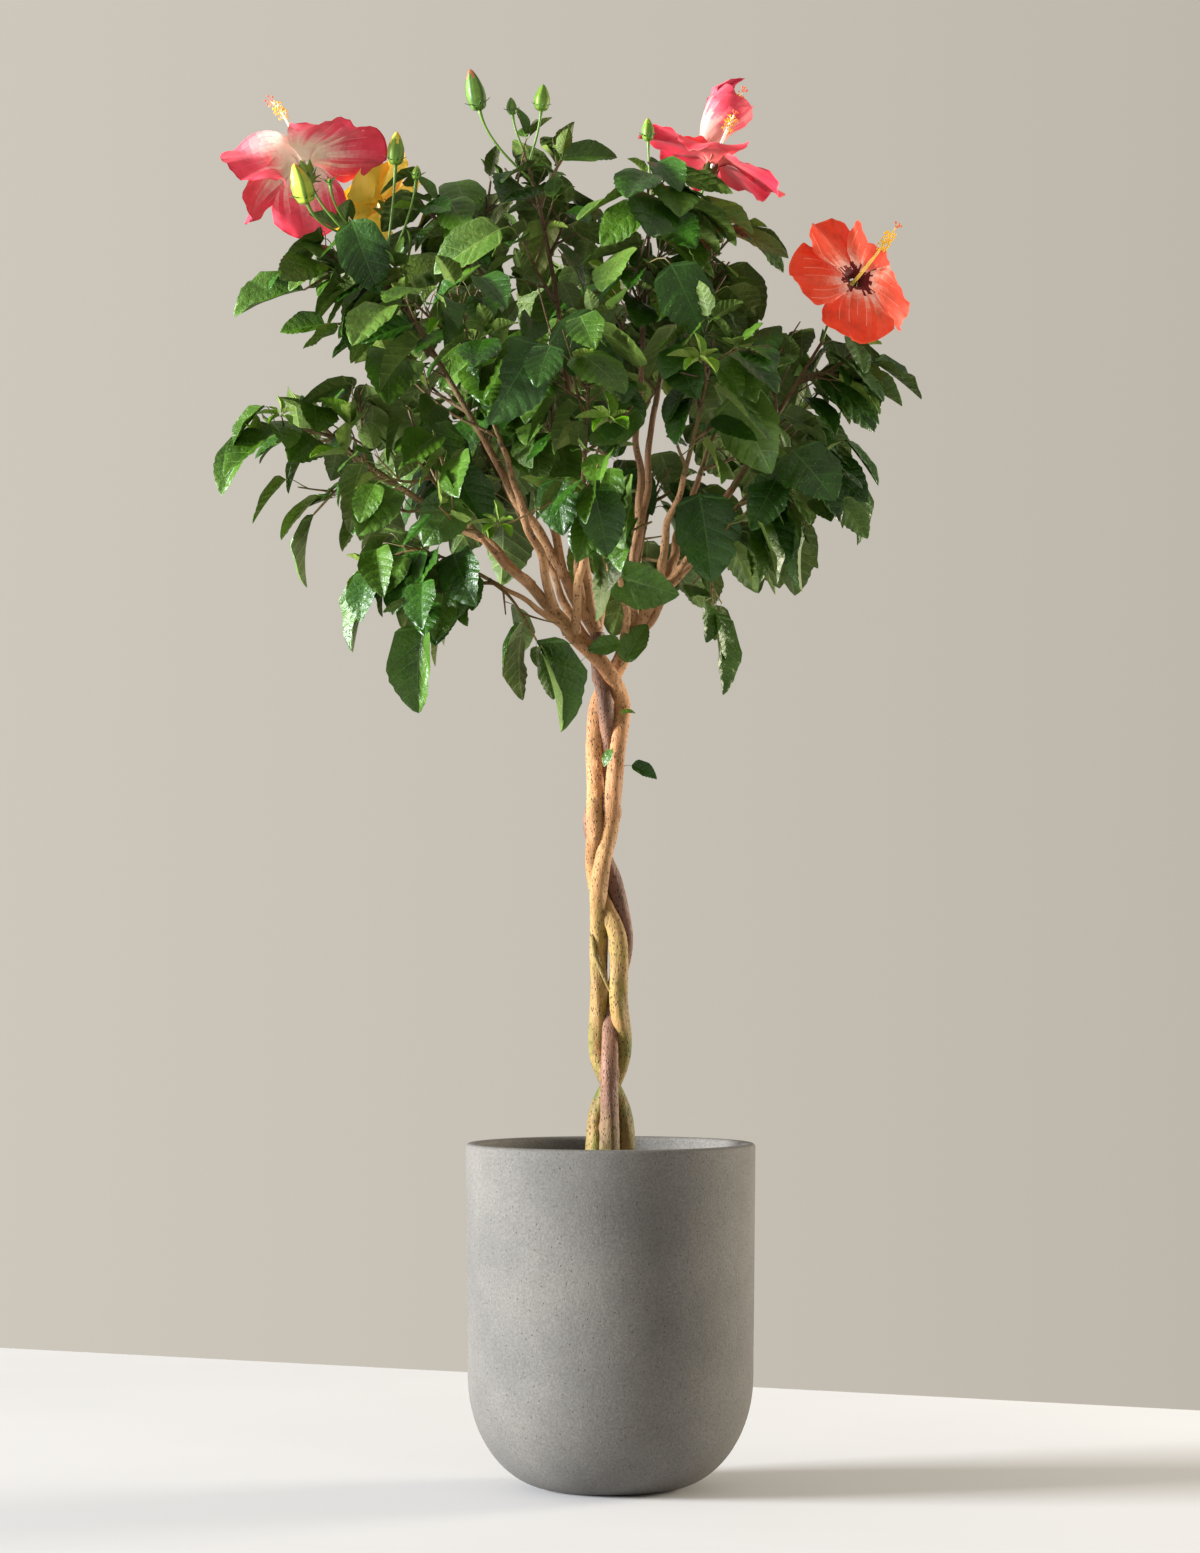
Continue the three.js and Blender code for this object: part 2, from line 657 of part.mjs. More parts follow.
const openings = SKY.map(([x, z, radius]) => {
  return { middle: new THREE.Vector2(x, z), radius, depth: Infinity };
});
for (const [name, from, to] of SHOWN) {
  for (let i = 0; i < SHOWN_STEPS; i += 1) {
    const { point } = placeOn(runs[name], mix(from, to, i / (SHOWN_STEPS - 1)));
    openings.push({ middle: seen(point), radius: SHOWN_ROOM, depth: point.y });
  }
}

function bladeSamples(leaf) {
  const middles = [leaf.left, leaf.right].map((side) => side.clone().lerp(leaf.tip, 0.5));
  return [leaf.base, leaf.left, leaf.right, leaf.keel, leaf.tip, leaf.centre, ...middles];
}

function inOpening(leaf) {
  return bladeSamples(leaf).some((point) => {
    const place = seen(point);
    return openings.some((opening) => {
      return point.y < opening.depth && place.distanceTo(opening.middle) < opening.radius;
    });
  });
}

function lineGap(a, b, c, d) {
  const first = b.clone().sub(a);
  const second = d.clone().sub(c);
  const across = a.clone().sub(c);
  const aa = first.dot(first);
  const bb = second.dot(second);
  const ab = first.dot(second);
  const ac = first.dot(across);
  const bc = second.dot(across);
  const det = aa * bb - ab * ab;
  let s = det > 1e-9 ? THREE.MathUtils.clamp((ab * bc - ac * bb) / det, 0, 1) : 0;
  let t = (ab * s + bc) / bb;
  if (t < 0) {
    t = 0;
    s = THREE.MathUtils.clamp(-ac / aa, 0, 1);
  } else if (t > 1) {
    t = 1;
    s = THREE.MathUtils.clamp((ab - ac) / aa, 0, 1);
  }
  return step(a, first, s).distanceTo(step(c, second, t));
}

function crosses(a, b, triangle) {
  const [p, q, r] = triangle;
  const heading = b.clone().sub(a);
  const e1 = q.clone().sub(p);
  const e2 = r.clone().sub(p);
  const h = new THREE.Vector3().crossVectors(heading, e2);
  const det = e1.dot(h);
  if (Math.abs(det) < 1e-9) {
    return false;
  }
  const s = a.clone().sub(p);
  const u = s.dot(h) / det;
  const k = new THREE.Vector3().crossVectors(s, e1);
  const v = heading.dot(k) / det;
  const t = e2.dot(k) / det;
  return u >= 0 && v >= 0 && u + v <= 1 && t >= 0 && t <= 1;
}

function blade(leaf) {
  return [
    [leaf.base, leaf.left, leaf.tip],
    [leaf.base, leaf.right, leaf.tip],
  ];
}

function bladeGap(triangle, a, b) {
  if (crosses(a, b, triangle)) {
    return 0;
  }
  const face = new THREE.Triangle(...triangle);
  const near = new THREE.Vector3();
  let gap = Infinity;
  for (let i = 0; i < 3; i += 1) {
    gap = Math.min(gap, lineGap(triangle[i], triangle[(i + 1) % 3], a, b));
  }
  for (const end of [a, b]) {
    gap = Math.min(gap, face.closestPointToPoint(end, near).distanceTo(end));
  }
  return gap;
}

function bladesCross(one, other) {
  const stalkThrough = (leaf, faces) => faces.some((face) => crosses(leaf.root, leaf.base, face));
  if (stalkThrough(one, blade(other)) || stalkThrough(other, blade(one))) {
    return true;
  }
  for (const first of blade(one)) {
    for (const second of blade(other)) {
      for (let i = 0; i < 3; i += 1) {
        const j = (i + 1) % 3;
        if (crosses(first[i], first[j], second) || crosses(second[i], second[j], first)) {
          return true;
        }
      }
    }
  }
  return false;
}

function inBloom(point) {
  return BLOOMS.some((bloom) => {
    const off = point.clone().sub(bloom.centre);
    const along = off.dot(bloom.axis);
    const out = Math.sqrt(Math.max(off.lengthSq() - along * along, 0));
    const reach = bloom.petals ? bloom.petal + BLOOM.clear : bloom.width / 2 + BLOOM.clear;
    const top = bloom.petals ? BLOOM.above : bloom.petal + BLOOM.clear;
    const low = bloom.petals ? -BLOOM.below : -BLOOM.clear;
    return out < reach && along > low && along < top;
  });
}

function twigIsFree(index, points) {
  const own = `leaves_${LIMBS[index].name}`;
  for (let i = 0; i + 1 < points.length; i += 1) {
    const [a, b] = [points[i], points[i + 1]];
    if (!inSpace(index, b, TWIG.radius + SPACE_MARGIN) || inBloom(b)) {
      return false;
    }
    for (const line of lines.filter((other) => other.owner !== own)) {
      if (lineGap(a, b, line.a, line.b) < line.radius + TWIG.radius + LIMB_CLEARANCE) {
        return false;
      }
    }
  }
  return true;
}

function leafIsFree(index, leaf, twigs, leaves) {
  const own = `leaves_${LIMBS[index].name}`;
  const samples = bladeSamples(leaf);
  const within = samples.every((point) => inSpace(index, point, SPACE_MARGIN + LEAF.stalkRadius));
  if (!within || samples.some(inBloom)) {
    return false;
  }
  const { centre } = leaf;
  const half = leaf.length / 2;
  const faces = blade(leaf);
  for (const line of lines.filter((other) => other.owner !== own)) {
    const reach = centre.distanceTo(line.a) - line.a.distanceTo(line.b);
    if (reach < half + 20 + line.radius) {
      const room = line.radius + LIMB_CLEARANCE;
      if (faces.some((face) => bladeGap(face, line.a, line.b) < room)) {
        return false;
      }
      if (lineGap(leaf.root, leaf.base, line.a, line.b) < room + LEAF.stalkRadius) {
        return false;
      }
    }
  }
  for (const other of leaves) {
    if (other.centre.distanceTo(centre) < half + other.length / 2 + 10 && bladesCross(leaf, other)) {
      return false;
    }
  }
  for (const twig of twigs) {
    for (let i = 0; i + 1 < twig.points.length; i += 1) {
      if (faces.some((face) => crosses(twig.points[i], twig.points[i + 1], face))) {
        return false;
      }
    }
  }
  return true;
}

// A leaf's named points: the stalk runs from its root on the twig to the base of the blade, whose
// upper face looks up, rolled about the midrib.
function leafShape(root, base, ahead, roll, length) {
  const level = UP.clone().addScaledVector(ahead, -UP.dot(ahead)).normalize();
  const top = level.applyAxisAngle(ahead, radians(roll));
  const side = new THREE.Vector3().crossVectors(top, ahead);
  const middle = step(base, ahead, length * LEAF.widest);
  const half = (length * LEAF.widthShare) / 2;
  const tip = step(base, ahead, length).addScaledVector(top, -length * LEAF.tipFall);
  return {
    root,
    base,
    top,
    side,
    length,
    left: step(middle, side, half).addScaledVector(top, length * LEAF.edgeRise),
    right: step(middle, side, -half).addScaledVector(top, length * LEAF.edgeRise),
    keel: step(middle, top, -LEAF.thickness),
    tip,
    centre: base.clone().lerp(tip, 0.5),
  };
}

// A leaf that hangs outward from its twig, the lower in the crown the steeper.
function hangingLeaf(root, along, turn, length, random) {
  const outward = new THREE.Vector3(root.x - CROWN.x, root.y - CROWN.y, 0).normalize();
  const away = square(along, turn).multiplyScalar(STALK_PULL.away);
  away.addScaledVector(along, STALK_PULL.along).addScaledVector(outward, STALK_PULL.outward);
  away.addScaledVector(UP, STALK_PULL.up).normalize();
  const base = step(root, away, mix(LEAF.stalkShortest, LEAF.stalkLongest, random()));
  const heading = new THREE.Vector3(away.x, away.y, 0);
  heading.addScaledVector(outward, STALK_PULL.outward).normalize();
  heading.applyAxisAngle(UP, radians(LEAF.turn * (2 * random() - 1)));
  const height = THREE.MathUtils.clamp((root.z - CROWN.low) / (CROWN.high - CROWN.low), 0, 1);
  const droop = radians(mix(LEAF.droopLow, LEAF.droopTop, height) + LEAF.wander * (2 * random() - 1));
  const ahead = heading.multiplyScalar(Math.cos(droop)).addScaledVector(UP, -Math.sin(droop));
  return leafShape(root, base, ahead, LEAF.roll * (2 * random() - 1), length);
}

// A leaf: its stalk starts as a point sunk in the twig, and the blade is flat above and keeled
// along the midrib.
function leafSolid(leaf) {
  const stalk = leaf.base.clone().sub(leaf.root).normalize();
  const root = step(leaf.root, stalk, -LEAF.sunk);
  const neck = [leaf.side, leaf.side.clone().negate(), leaf.top.clone().negate()];
  const base = neck.map((off) => step(leaf.base, off, LEAF.stalkRadius));
  return skinned([[root], base, [leaf.left, leaf.right, leaf.keel], [leaf.tip]]);
}

// Twigs of a mass: its stem, its trailers, and side shoots that turn by the golden angle.
function growTwigs(limb, index, random, leaves) {
  const stem = { points: limb.stalk, radius: limb.tipRadius * STALK_SHARE };
  const twigs = [{ ...stem, leaves: limb.lush + LEAF.extraOnStem }];
  for (const trailer of TRAILERS.filter((row) => row.limb === limb.name)) {
    const node = placeOn(limb.stalk, trailer.at).point;
    const end = new THREE.Vector3(...trailer.end);
    const bend = node.clone().lerp(end, 0.5);
    bend.z += TWIG.trailerRise * node.distanceTo(end);
    const points = sampled((t) => bezier(node, bend, bend, end, t), 0, 1, TWIG.steps + 1);
    const ahead = new THREE.Vector3(...trailer.tip).sub(end);
    const root = placeOn(points, TWIG.trailerRoot).point;
    const leaf = leafShape(root, end, ahead.clone().normalize(), trailer.roll, ahead.length());
    if (twigIsFree(index, points) && leafIsFree(index, leaf, [], leaves)) {
      twigs.push({ points, radius: TWIG.radius, leaves: 1 });
      leaves.push(leaf);
    }
  }
  const heart = new THREE.Vector3(CROWN.x, CROWN.y, CROWN.heart);
  for (let k = 0; k < limb.shoots; k += 1) {
    const share = TWIG.first + (TWIG.span * k) / limb.shoots;
    const { point: node, along } = placeOn(limb.stalk, share);
    const outward = node.clone().sub(heart).normalize();
    const turn = GOLDEN_ANGLE * k + TWIG.turnWander * random();
    const opening = TWIG.opening + TWIG.wander * (2 * random() - 1);
    const vigour = mix(TWIG.shortest, TWIG.longest, random());
    const length = limb.spread * (1 - TWIG.shortening * share) * vigour;
    for (let attempt = 0; attempt < TWIG.tries; attempt += 1) {
      const out = square(along, turn + attempt * TWIG.retryTurn);
      const heading = along.clone().multiplyScalar(Math.cos(radians(opening)));
      heading.addScaledVector(out, Math.sin(radians(opening)));
      heading.addScaledVector(outward, TWIG.outward).normalize();
      const reach = length * TWIG.retryLength ** attempt;
      const bend = step(node, heading, reach * TWIG.bend);
      const tip = step(node, heading, reach).addScaledVector(UP, reach * TWIG.lift);
      const early = node.clone().lerp(bend, TWIG.straight);
      const points = sampled((t) => bezier(node, early, bend, tip, t), 0, 1, TWIG.steps);
      if (twigIsFree(index, points)) {
        twigs.push({ points, radius: TWIG.radius, leaves: limb.lush });
        break;
      }
    }
  }
  return twigs;
}

// The twigs and leaves of one mass, by the same rule for all and a seed for each.
function growMass(limb, index) {
  const random = seeded(limb.seed);
  const leaves = [];
  const twigs = growTwigs(limb, index, random, leaves);
  for (const twig of twigs) {
    const start = 180 * random();
    for (let j = 0; j < twig.leaves; j += 1) {
      const share = mix(LEAF.first, LEAF.last, twig.leaves === 1 ? 0.5 : j / (twig.leaves - 1));
      const { point: root, along } = placeOn(twig.points, share);
      const length = mix(LEAF.shortest, LEAF.longest, random()) * mix(1, LEAF.endShare, share);
      for (let attempt = 0; attempt < LEAF.tries; attempt += 1) {
        const turn = start + GOLDEN_ANGLE * j + attempt * LEAF.retryTurn;
        const leaf = hangingLeaf(root, along, turn, length * LEAF.retryLength ** attempt, random);
        if (!inOpening(leaf) && leafIsFree(index, leaf, twigs, leaves)) {
          leaves.push(leaf);
          break;
        }
      }
    }
  }
  return { twigs, leaves };
}

// A twig narrows to its tip, and a side twig also narrows to its root inside the mass's stem.
function twigSolid(twig, order) {
  const last = twig.points.length - 1;
  const radii = twig.points.map((_, i) => mix(twig.radius, twig.radius * TWIG.tipShare, i / last));
  if (order > 0) {
    radii[0] = twig.radius * TWIG.rootShare;
  }
  return tube(twig.points, radii, TWIG.sides);
}

function massSolid(limb, index) {
  const { twigs, leaves } = growMass(limb, index);
  return joined([...twigs.map(twigSolid), ...leaves.map(leafSolid)]);
}

// Flowers.

// A thin closed sheet over a grid of points, as thick as a petal, with its normals worked out
// from the grid.
function sheet(grid, thickness) {
  const rows = grid.length;
  const columns = grid[0].length;
  const positions = [];
  for (const side of [0.5, -0.5]) {
    for (let i = 0; i < rows; i += 1) {
      for (let j = 0; j < columns; j += 1) {
        const down = grid[Math.min(i + 1, rows - 1)][j].clone().sub(grid[Math.max(i - 1, 0)][j]);
        const over = grid[i][Math.min(j + 1, columns - 1)].clone().sub(grid[i][Math.max(j - 1, 0)]);
        const normal = new THREE.Vector3().crossVectors(down, over).normalize();
        positions.push(step(grid[i][j], normal, side * thickness));
      }
    }
  }
  const at = (face, i, j) => face * rows * columns + i * columns + j;
  const triangles = [];
  const quad = (a, b, c, d) => triangles.push([a, b, c], [a, c, d]);
  for (let i = 0; i + 1 < rows; i += 1) {
    for (let j = 0; j + 1 < columns; j += 1) {
      quad(at(0, i, j), at(0, i + 1, j), at(0, i + 1, j + 1), at(0, i, j + 1));
      quad(at(1, i, j), at(1, i, j + 1), at(1, i + 1, j + 1), at(1, i + 1, j));
    }
    quad(at(0, i, 0), at(1, i, 0), at(1, i + 1, 0), at(0, i + 1, 0));
    quad(at(0, i, columns - 1), at(0, i + 1, columns - 1), at(1, i + 1, columns - 1), at(1, i, columns - 1));
  }
  for (let j = 0; j + 1 < columns; j += 1) {
    quad(at(0, 0, j), at(0, 0, j + 1), at(1, 0, j + 1), at(1, 0, j));
    quad(at(0, rows - 1, j), at(1, rows - 1, j), at(1, rows - 1, j + 1), at(0, rows - 1, j + 1));
  }
  return solid(positions, triangles);
}

// A petal leaves the throat near the axis and bends out to the flower's opening angle.
function petalSolid(bloom, turn, opening) {
  const rows = 3;
  const out = square(bloom.axis, turn);
  const beside = new THREE.Vector3().crossVectors(bloom.axis, out);
  let spine = step(bloom.centre, out, BLOOM.throat * 0.7);
  const grid = [];
  for (let i = 0; i < rows; i += 1) {
    const share = i / (rows - 1);
    const angle = radians(mix(BLOOM.cup, opening, Math.min(share * 1.6, 1)));
    const ahead = out.clone().multiplyScalar(Math.sin(angle)).addScaledVector(bloom.axis, Math.cos(angle));
    const face = bloom.axis.clone().multiplyScalar(Math.sin(angle)).addScaledVector(out, -Math.cos(angle));
    if (i > 0) {
      spine = step(spine, ahead, bloom.petal / (rows - 1));
    }
    const half = mix(1.6, bloom.width / 2, Math.sin(Math.min(share * 1.25, 1) * 0.5 * Math.PI));
    const width = i === rows - 1 ? half * 0.72 : half;
    grid.push([-1, 0, 1].map((across) => {
      const lap = BLOOM.ruffle * Math.min(share * 3, 1) * across;
      const hollow = across === 0 ? 0 : BLOOM.ruffle * 0.5 * share;
      return step(spine, beside, width * across).addScaledVector(face, lap + hollow);
    }));
  }
  return sheet(grid, BLOOM.sheet);
}

// The petals of a flower that closes, rolled into one cup.
function furledSolid(bloom) {
  return spindle(bloom.centre, bloom.axis, [
    [-2, 0],
    [bloom.petal * 0.3, bloom.width * 0.32],
    [bloom.petal * 0.7, bloom.width * 0.5],
    [bloom.petal, bloom.width * 0.3],
  ], BLOOM.sides + 1);
}

function bloomSolid(bloom) {
  const { centre, axis, foot } = bloom;
  const calyx = spindle(foot, axis, [
    [-2, 0],
    [2, BLOOM.calyxRadius * 0.7],
    [BLOOM.calyxHeight + BLOOM.throatHeight * 0.4, BLOOM.throat],
    [BLOOM.calyxHeight + BLOOM.throatHeight, 0],
  ], BLOOM.sides);
  const column = spindle(centre, axis, [
    [0, BLOOM.columnRadius],
    [bloom.column * 0.62, BLOOM.columnRadius],
    [bloom.column * 0.82, BLOOM.antherRadius],
    [bloom.column, 0],
  ], BLOOM.sides - 1);
  const petals = (bloom.petals ?? []).map(([turn, opening]) => petalSolid(bloom, turn, opening));
  if (!bloom.petals) {
    petals.push(furledSolid(bloom));
  }
  const stalk = tube(bloom.run, bloom.run.map(() => BLOOM.stalkRadius), 3);
  return joined([calyx, column, stalk, ...petals]);
}

function budSolid(bud) {
  const body = spindle(bud.foot, bud.axis, [
    [-2, 0],
    [bud.length * 0.12, bud.radius * 0.8],
    [bud.length * 0.4, bud.radius],
    [bud.length * 0.8, bud.radius * 0.5],
    [bud.length, 0],
  ], BLOOM.sides);
  const stalk = tube(bud.run, bud.run.map(() => BLOOM.stalkRadius), 3);
  return joined([body, stalk]);
}

// The whole plant in its pot.

const plant = new THREE.Group();

function addPart(name, shape, colour, roughness) {
  const { vertProperties, triVerts } = shape.getMesh();
  const geometry = new THREE.BufferGeometry();
  geometry.setAttribute('position', new THREE.BufferAttribute(new Float32Array(vertProperties), 3));
  geometry.setIndex(new THREE.BufferAttribute(new Uint32Array(triVerts), 1));
  const material = new THREE.MeshStandardMaterial({ color: colour, roughness, metalness: 0 });
  const mesh = new THREE.Mesh(geometry, material);
  mesh.name = name;
  plant.add(mesh);
}

addPart('pot', potSolid(), COLOURS.pot, 0.75);
addPart('soil', soilSolid(), COLOURS.soil, 0.95);

const limbShapes = [];
for (const [name, stem] of Object.entries(STEMS)) {
  const cut = limbShapes.reduce((left, other) => left.subtract(other), stemTube(stem, 0));
  const colour = name === 'stem_dark' ? COLOURS.dark : COLOURS.tan;
  addPart(name, largest(flatCut(cut)), colour, 0.8);
  limbShapes.push(stemTube(stem, GAP));
}

for (const limb of LIMBS) {
  const cut = limbShapes.reduce((left, other) => left.subtract(other), boughTube(limb, 0));
  addPart(`bough_${limb.name}`, largest(cut), COLOURS.tan, 0.8);
  limbShapes.push(boughTube(limb, GAP));
}

const massStems = [];
LIMBS.forEach((limb, index) => {
  addPart(`leaves_${limb.name}`, massSolid(limb, index), COLOURS.leaf, 0.45);
  const radius = limb.tipRadius * STALK_SHARE + GAP * 2.2;
  massStems.push(tube(limb.stalk, limb.stalk.map((_, i) => mix(radius, radius * 0.6, i / STALK_STEPS)), 3));
});

for (const bloom of BLOOMS) {
  const cut = massStems.reduce((left, other) => left.subtract(other), bloomSolid(bloom));
  addPart(bloom.name, largest(cut), bloom.colour, 0.5);
  massStems.push(tube(bloom.run, bloom.run.map(() => BLOOM.stalkRadius + GAP * 2.2), 3));
}

for (const bud of BUDS) {
  const cut = massStems.reduce((left, other) => left.subtract(other), budSolid(bud));
  addPart(bud.name, largest(cut), COLOURS.bud, 0.5);
}

export default plant;
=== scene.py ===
# A hibiscus tree with three braided stems, standing in a round-bottomed grey pot.
# The growth rule works in millimetres, as the solids do, and meshes are made in metres.

import json
import math
from types import SimpleNamespace

import bpy
import numpy as np
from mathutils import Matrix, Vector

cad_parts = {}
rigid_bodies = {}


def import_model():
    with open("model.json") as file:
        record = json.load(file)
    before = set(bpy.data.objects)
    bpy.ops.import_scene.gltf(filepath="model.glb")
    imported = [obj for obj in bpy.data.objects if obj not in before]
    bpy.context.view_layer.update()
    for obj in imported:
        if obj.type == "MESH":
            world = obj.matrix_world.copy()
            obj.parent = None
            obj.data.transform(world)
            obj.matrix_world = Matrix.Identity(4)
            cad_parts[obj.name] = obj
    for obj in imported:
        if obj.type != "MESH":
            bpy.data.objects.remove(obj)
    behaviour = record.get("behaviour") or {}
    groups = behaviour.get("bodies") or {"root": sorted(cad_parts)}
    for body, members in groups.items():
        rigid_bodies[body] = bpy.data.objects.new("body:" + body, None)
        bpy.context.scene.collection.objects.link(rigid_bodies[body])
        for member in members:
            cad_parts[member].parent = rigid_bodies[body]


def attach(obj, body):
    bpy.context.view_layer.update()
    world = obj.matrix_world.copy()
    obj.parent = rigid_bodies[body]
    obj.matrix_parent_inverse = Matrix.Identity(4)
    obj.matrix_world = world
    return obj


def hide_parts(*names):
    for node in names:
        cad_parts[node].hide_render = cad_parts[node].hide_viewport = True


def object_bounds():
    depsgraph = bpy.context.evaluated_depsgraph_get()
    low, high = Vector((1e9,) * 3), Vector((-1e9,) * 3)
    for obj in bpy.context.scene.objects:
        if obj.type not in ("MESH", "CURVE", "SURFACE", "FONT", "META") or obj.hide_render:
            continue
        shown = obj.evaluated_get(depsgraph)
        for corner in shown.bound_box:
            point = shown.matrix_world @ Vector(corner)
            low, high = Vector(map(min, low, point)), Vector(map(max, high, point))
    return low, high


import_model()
cad_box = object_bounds()

# Sizes that the solids share.

MM = 0.001
GAP = 0.3
GOLDEN_ANGLE = 137.508
POT = SimpleNamespace(height=355, rim=150, waist=147.5, corner=116, foot=58, wall=14, lip=4, floor=26)
SOIL = SimpleNamespace(top=325, sink=4)
FORK_HEIGHT = 884
BRAID_LEVELS = [SOIL.top + GAP, 385, 445, 505, 565, 625, 685, 735, 775, 812, 848, FORK_HEIGHT]
PLACES = {
    "front": (-1, -11.5),
    "frontLeft": (-6, -10),
    "leftFront": (-8, -8),
    "left": (-12, 3),
    "wideLeft": (-16, 1),
    "leftBack": (-12, 8),
    "backLeft": (-1, 9),
    "back": (3, 11),
    "backRight": (7, 10),
    "rightBack": (15, 8),
    "right": (12, 3),
    "wideRight": (10, -5),
    "rightFront": (8, -8),
    "centre": (-2, -1),
    "leftFork": (-42, -8),
    "middleFork": (-14, 11),
    "rightFork": (24, 0),
}
STEMS = {
    "stem_left": (8.8, "right right leftBack left left leftFront rightFront rightFront wideRight"
                       " right frontLeft leftFork"),
    "stem_right": (9.0, "left left right rightFront rightFront leftBack leftFront left wideLeft"
                        " leftBack backRight rightFork"),
    "stem_dark": (8.4, "front front front back rightBack backRight leftBack backLeft centre"
                       " frontLeft leftBack middleFork"),
}
STEM_STEPS = 18
STEM_THINNING = 0.14
FLARE = SimpleNamespace(share=0.34, height=34, spread=0.22)
BEND = SimpleNamespace(shift=-8, height=682, span=62)

# A limb's parent and the share of it where the limb leaves, its tip by azimuth, reach and height,
# its slopes at both ends, its first radius, the share that is bare, its side shoots and their
# length, the leaves tried along each, and its seed.
LIMB_KEYS = "name parent at azimuth reach height leave arrive girth bare shoots spread lush seed".split()
LIMB_ROWS = [
    ("left_outer", "stem_left", 1, 178, 326, 1126, 58, 50, 7.4, 0.5, 4, 72, 4, 411),
    ("left_low", "stem_left", 0.97, -161, 226, 968, 34, 8, 4.4, 0.48, 3, 71, 5, 3312),
    ("left_inner", "left_outer", 0.17, -149, 236, 1060, 30, 44, 5, 0.4, 4, 109, 5, 3213),
    ("upper_left", "stem_dark", 1, -174, 262, 1296, 58, 56, 6.8, 0.52, 4, 100, 5, 114),
    ("top", "stem_dark", 0.985, 178, 92, 1392, 80, 72, 6.2, 0.56, 4, 71, 6, 315),
    ("right", "stem_right", 1, 1, 222, 1190, 52, 58, 7, 0.5, 4, 101, 5, 2316),
    ("right_mid", "right", 0.22, 16, 216, 1094, 42, 36, 5, 0.44, 4, 73, 5, 317),
    ("right_low", "stem_right", 0.965, -16, 212, 1040, 52, 18, 5, 0.46, 3, 71, 5, 3318),
    ("upper_right", "stem_right", 0.985, 20, 112, 1318, 84, 62, 6, 0.54, 4, 98, 6, 119),
    ("front_right", "right", 0.1, -60, 206, 1166, 62, 64, 5.4, 0.5, 4, 82, 6, 1520),
    ("front", "stem_left", 0.985, -96, 200, 1160, 66, 62, 5.6, 0.5, 4, 98, 6, 421),
    ("front_left", "left_outer", 0.08, -132, 240, 1212, 66, 60, 5.6, 0.52, 4, 112, 6, 222),
    ("front_low", "stem_right", 0.975, -94, 214, 1026, 44, 20, 4.6, 0.46, 3, 101, 6, 1123),
    ("back", "stem_dark", 0.97, 90, 184, 1270, 70, 60, 6, 0.52, 5, 115, 6, 1724),
    ("back_left", "stem_dark", 0.955, 134, 256, 1160, 50, 46, 5.8, 0.5, 4, 113, 6, 2925),
    ("back_right", "right", 0.14, 56, 242, 1186, 54, 52, 5.8, 0.5, 4, 113, 6, 2026),
    ("back_low", "stem_right", 0.95, 76, 222, 1064, 40, 20, 4.8, 0.46, 3, 92, 5, 2527),
    ("upper_mid", "upper_left", 0.14, 168, 172, 1350, 78, 68, 5.2, 0.62, 4, 99, 6, 2628),
    ("upper_front", "upper_right", 0.1, -64, 98, 1334, 80, 66, 5.2, 0.58, 4, 78, 6, 3029),
    ("middle", "upper_left", 0.05, -142, 112, 1184, 80, 68, 5, 0.5, 5, 71, 6, 2130),
]


def record(keys, row):
    return SimpleNamespace(**dict(zip(keys, row)))


LIMBS = [record(LIMB_KEYS, row) for row in LIMB_ROWS]

# Long twigs with one leaf that stands out of the crown: the limb, the share of its stem, where
# the blade begins and ends, and its roll.
TRAILERS = [
    ("left_outer", 0.72, (-373, 2, 1085), (-413, -4, 1032), -45),
    ("left_outer", 0.42, (-310, 26, 1010), (-339, 34, 937), -20),
    ("upper_left", 0.8, (-318, -24, 1238), (-396, -30, 1223), -50),
    ("left_low", 0.8, (-242, -70, 944), (-272, -76, 861), -30),
    ("left_low", 0.55, (-189, -108, 885), (-208, -116, 795), -40),
    ("left_low", 0.12, (-76, -62, 872), (-35, -70, 782), 40),
    ("right_low", 0.1, (105, -34, 903), (124, -38, 818), 15),
    ("right_low", 0.7, (201, -50, 997), (182, -54, 924), -30),
    ("right_mid", 0.9, (245, 66, 1052), (276, 64, 984), 45),
    ("right", 0.75, (249, 0, 1147), (307, -8, 1128), 40),
    ("top", 0.7, (-51, 15, 1380), (8, 20, 1394), 50),
    ("upper_left", 0.35, (-296, -20, 1203), (-343, -24, 1196), -55),
]

BOUGH_STEPS = 4
TIP_SHARE = 0.5
STALK_STEPS = 4
STALK_SHARE = 0.85
TWIG = SimpleNamespace(
    radius=2, steps=2, first=0.06, span=0.86, turn_wander=40, opening=52, wander=14, outward=0.25,
    shortest=0.8, longest=1.15, shortening=0.42, bend=0.55, straight=0.66, lift=0.24, tries=7,
    retry_turn=51, retry_length=0.93, trailer_rise=0.16, trailer_root=0.86,
)
LEAF = SimpleNamespace(
    shortest=70, longest=102, width_share=0.78, widest=0.38, stalk_shortest=14, stalk_longest=32,
    stalk_radius=0.9, thickness=1.7, tip_fall=0.13, edge_rise=0.05, droop_top=14, droop_low=58,
    turn=58, wander=20, roll=42, first=0.1, last=0.96, end_share=0.86, extra_on_stem=2, tries=9,
    retry_turn=63, retry_length=0.96,
)
PULL = SimpleNamespace(away=0.8, along=0.5, outward=0.3, up=0.2)
CROWN = SimpleNamespace(x=-40, y=0, low=900, high=1420, heart=1040)
SITE = SimpleNamespace(share=0.55, outward=22)
SPACE_MARGIN = 0.8
LIMB_CLEARANCE = 1.6
NEAR = SimpleNamespace(line=20, leaf=10)

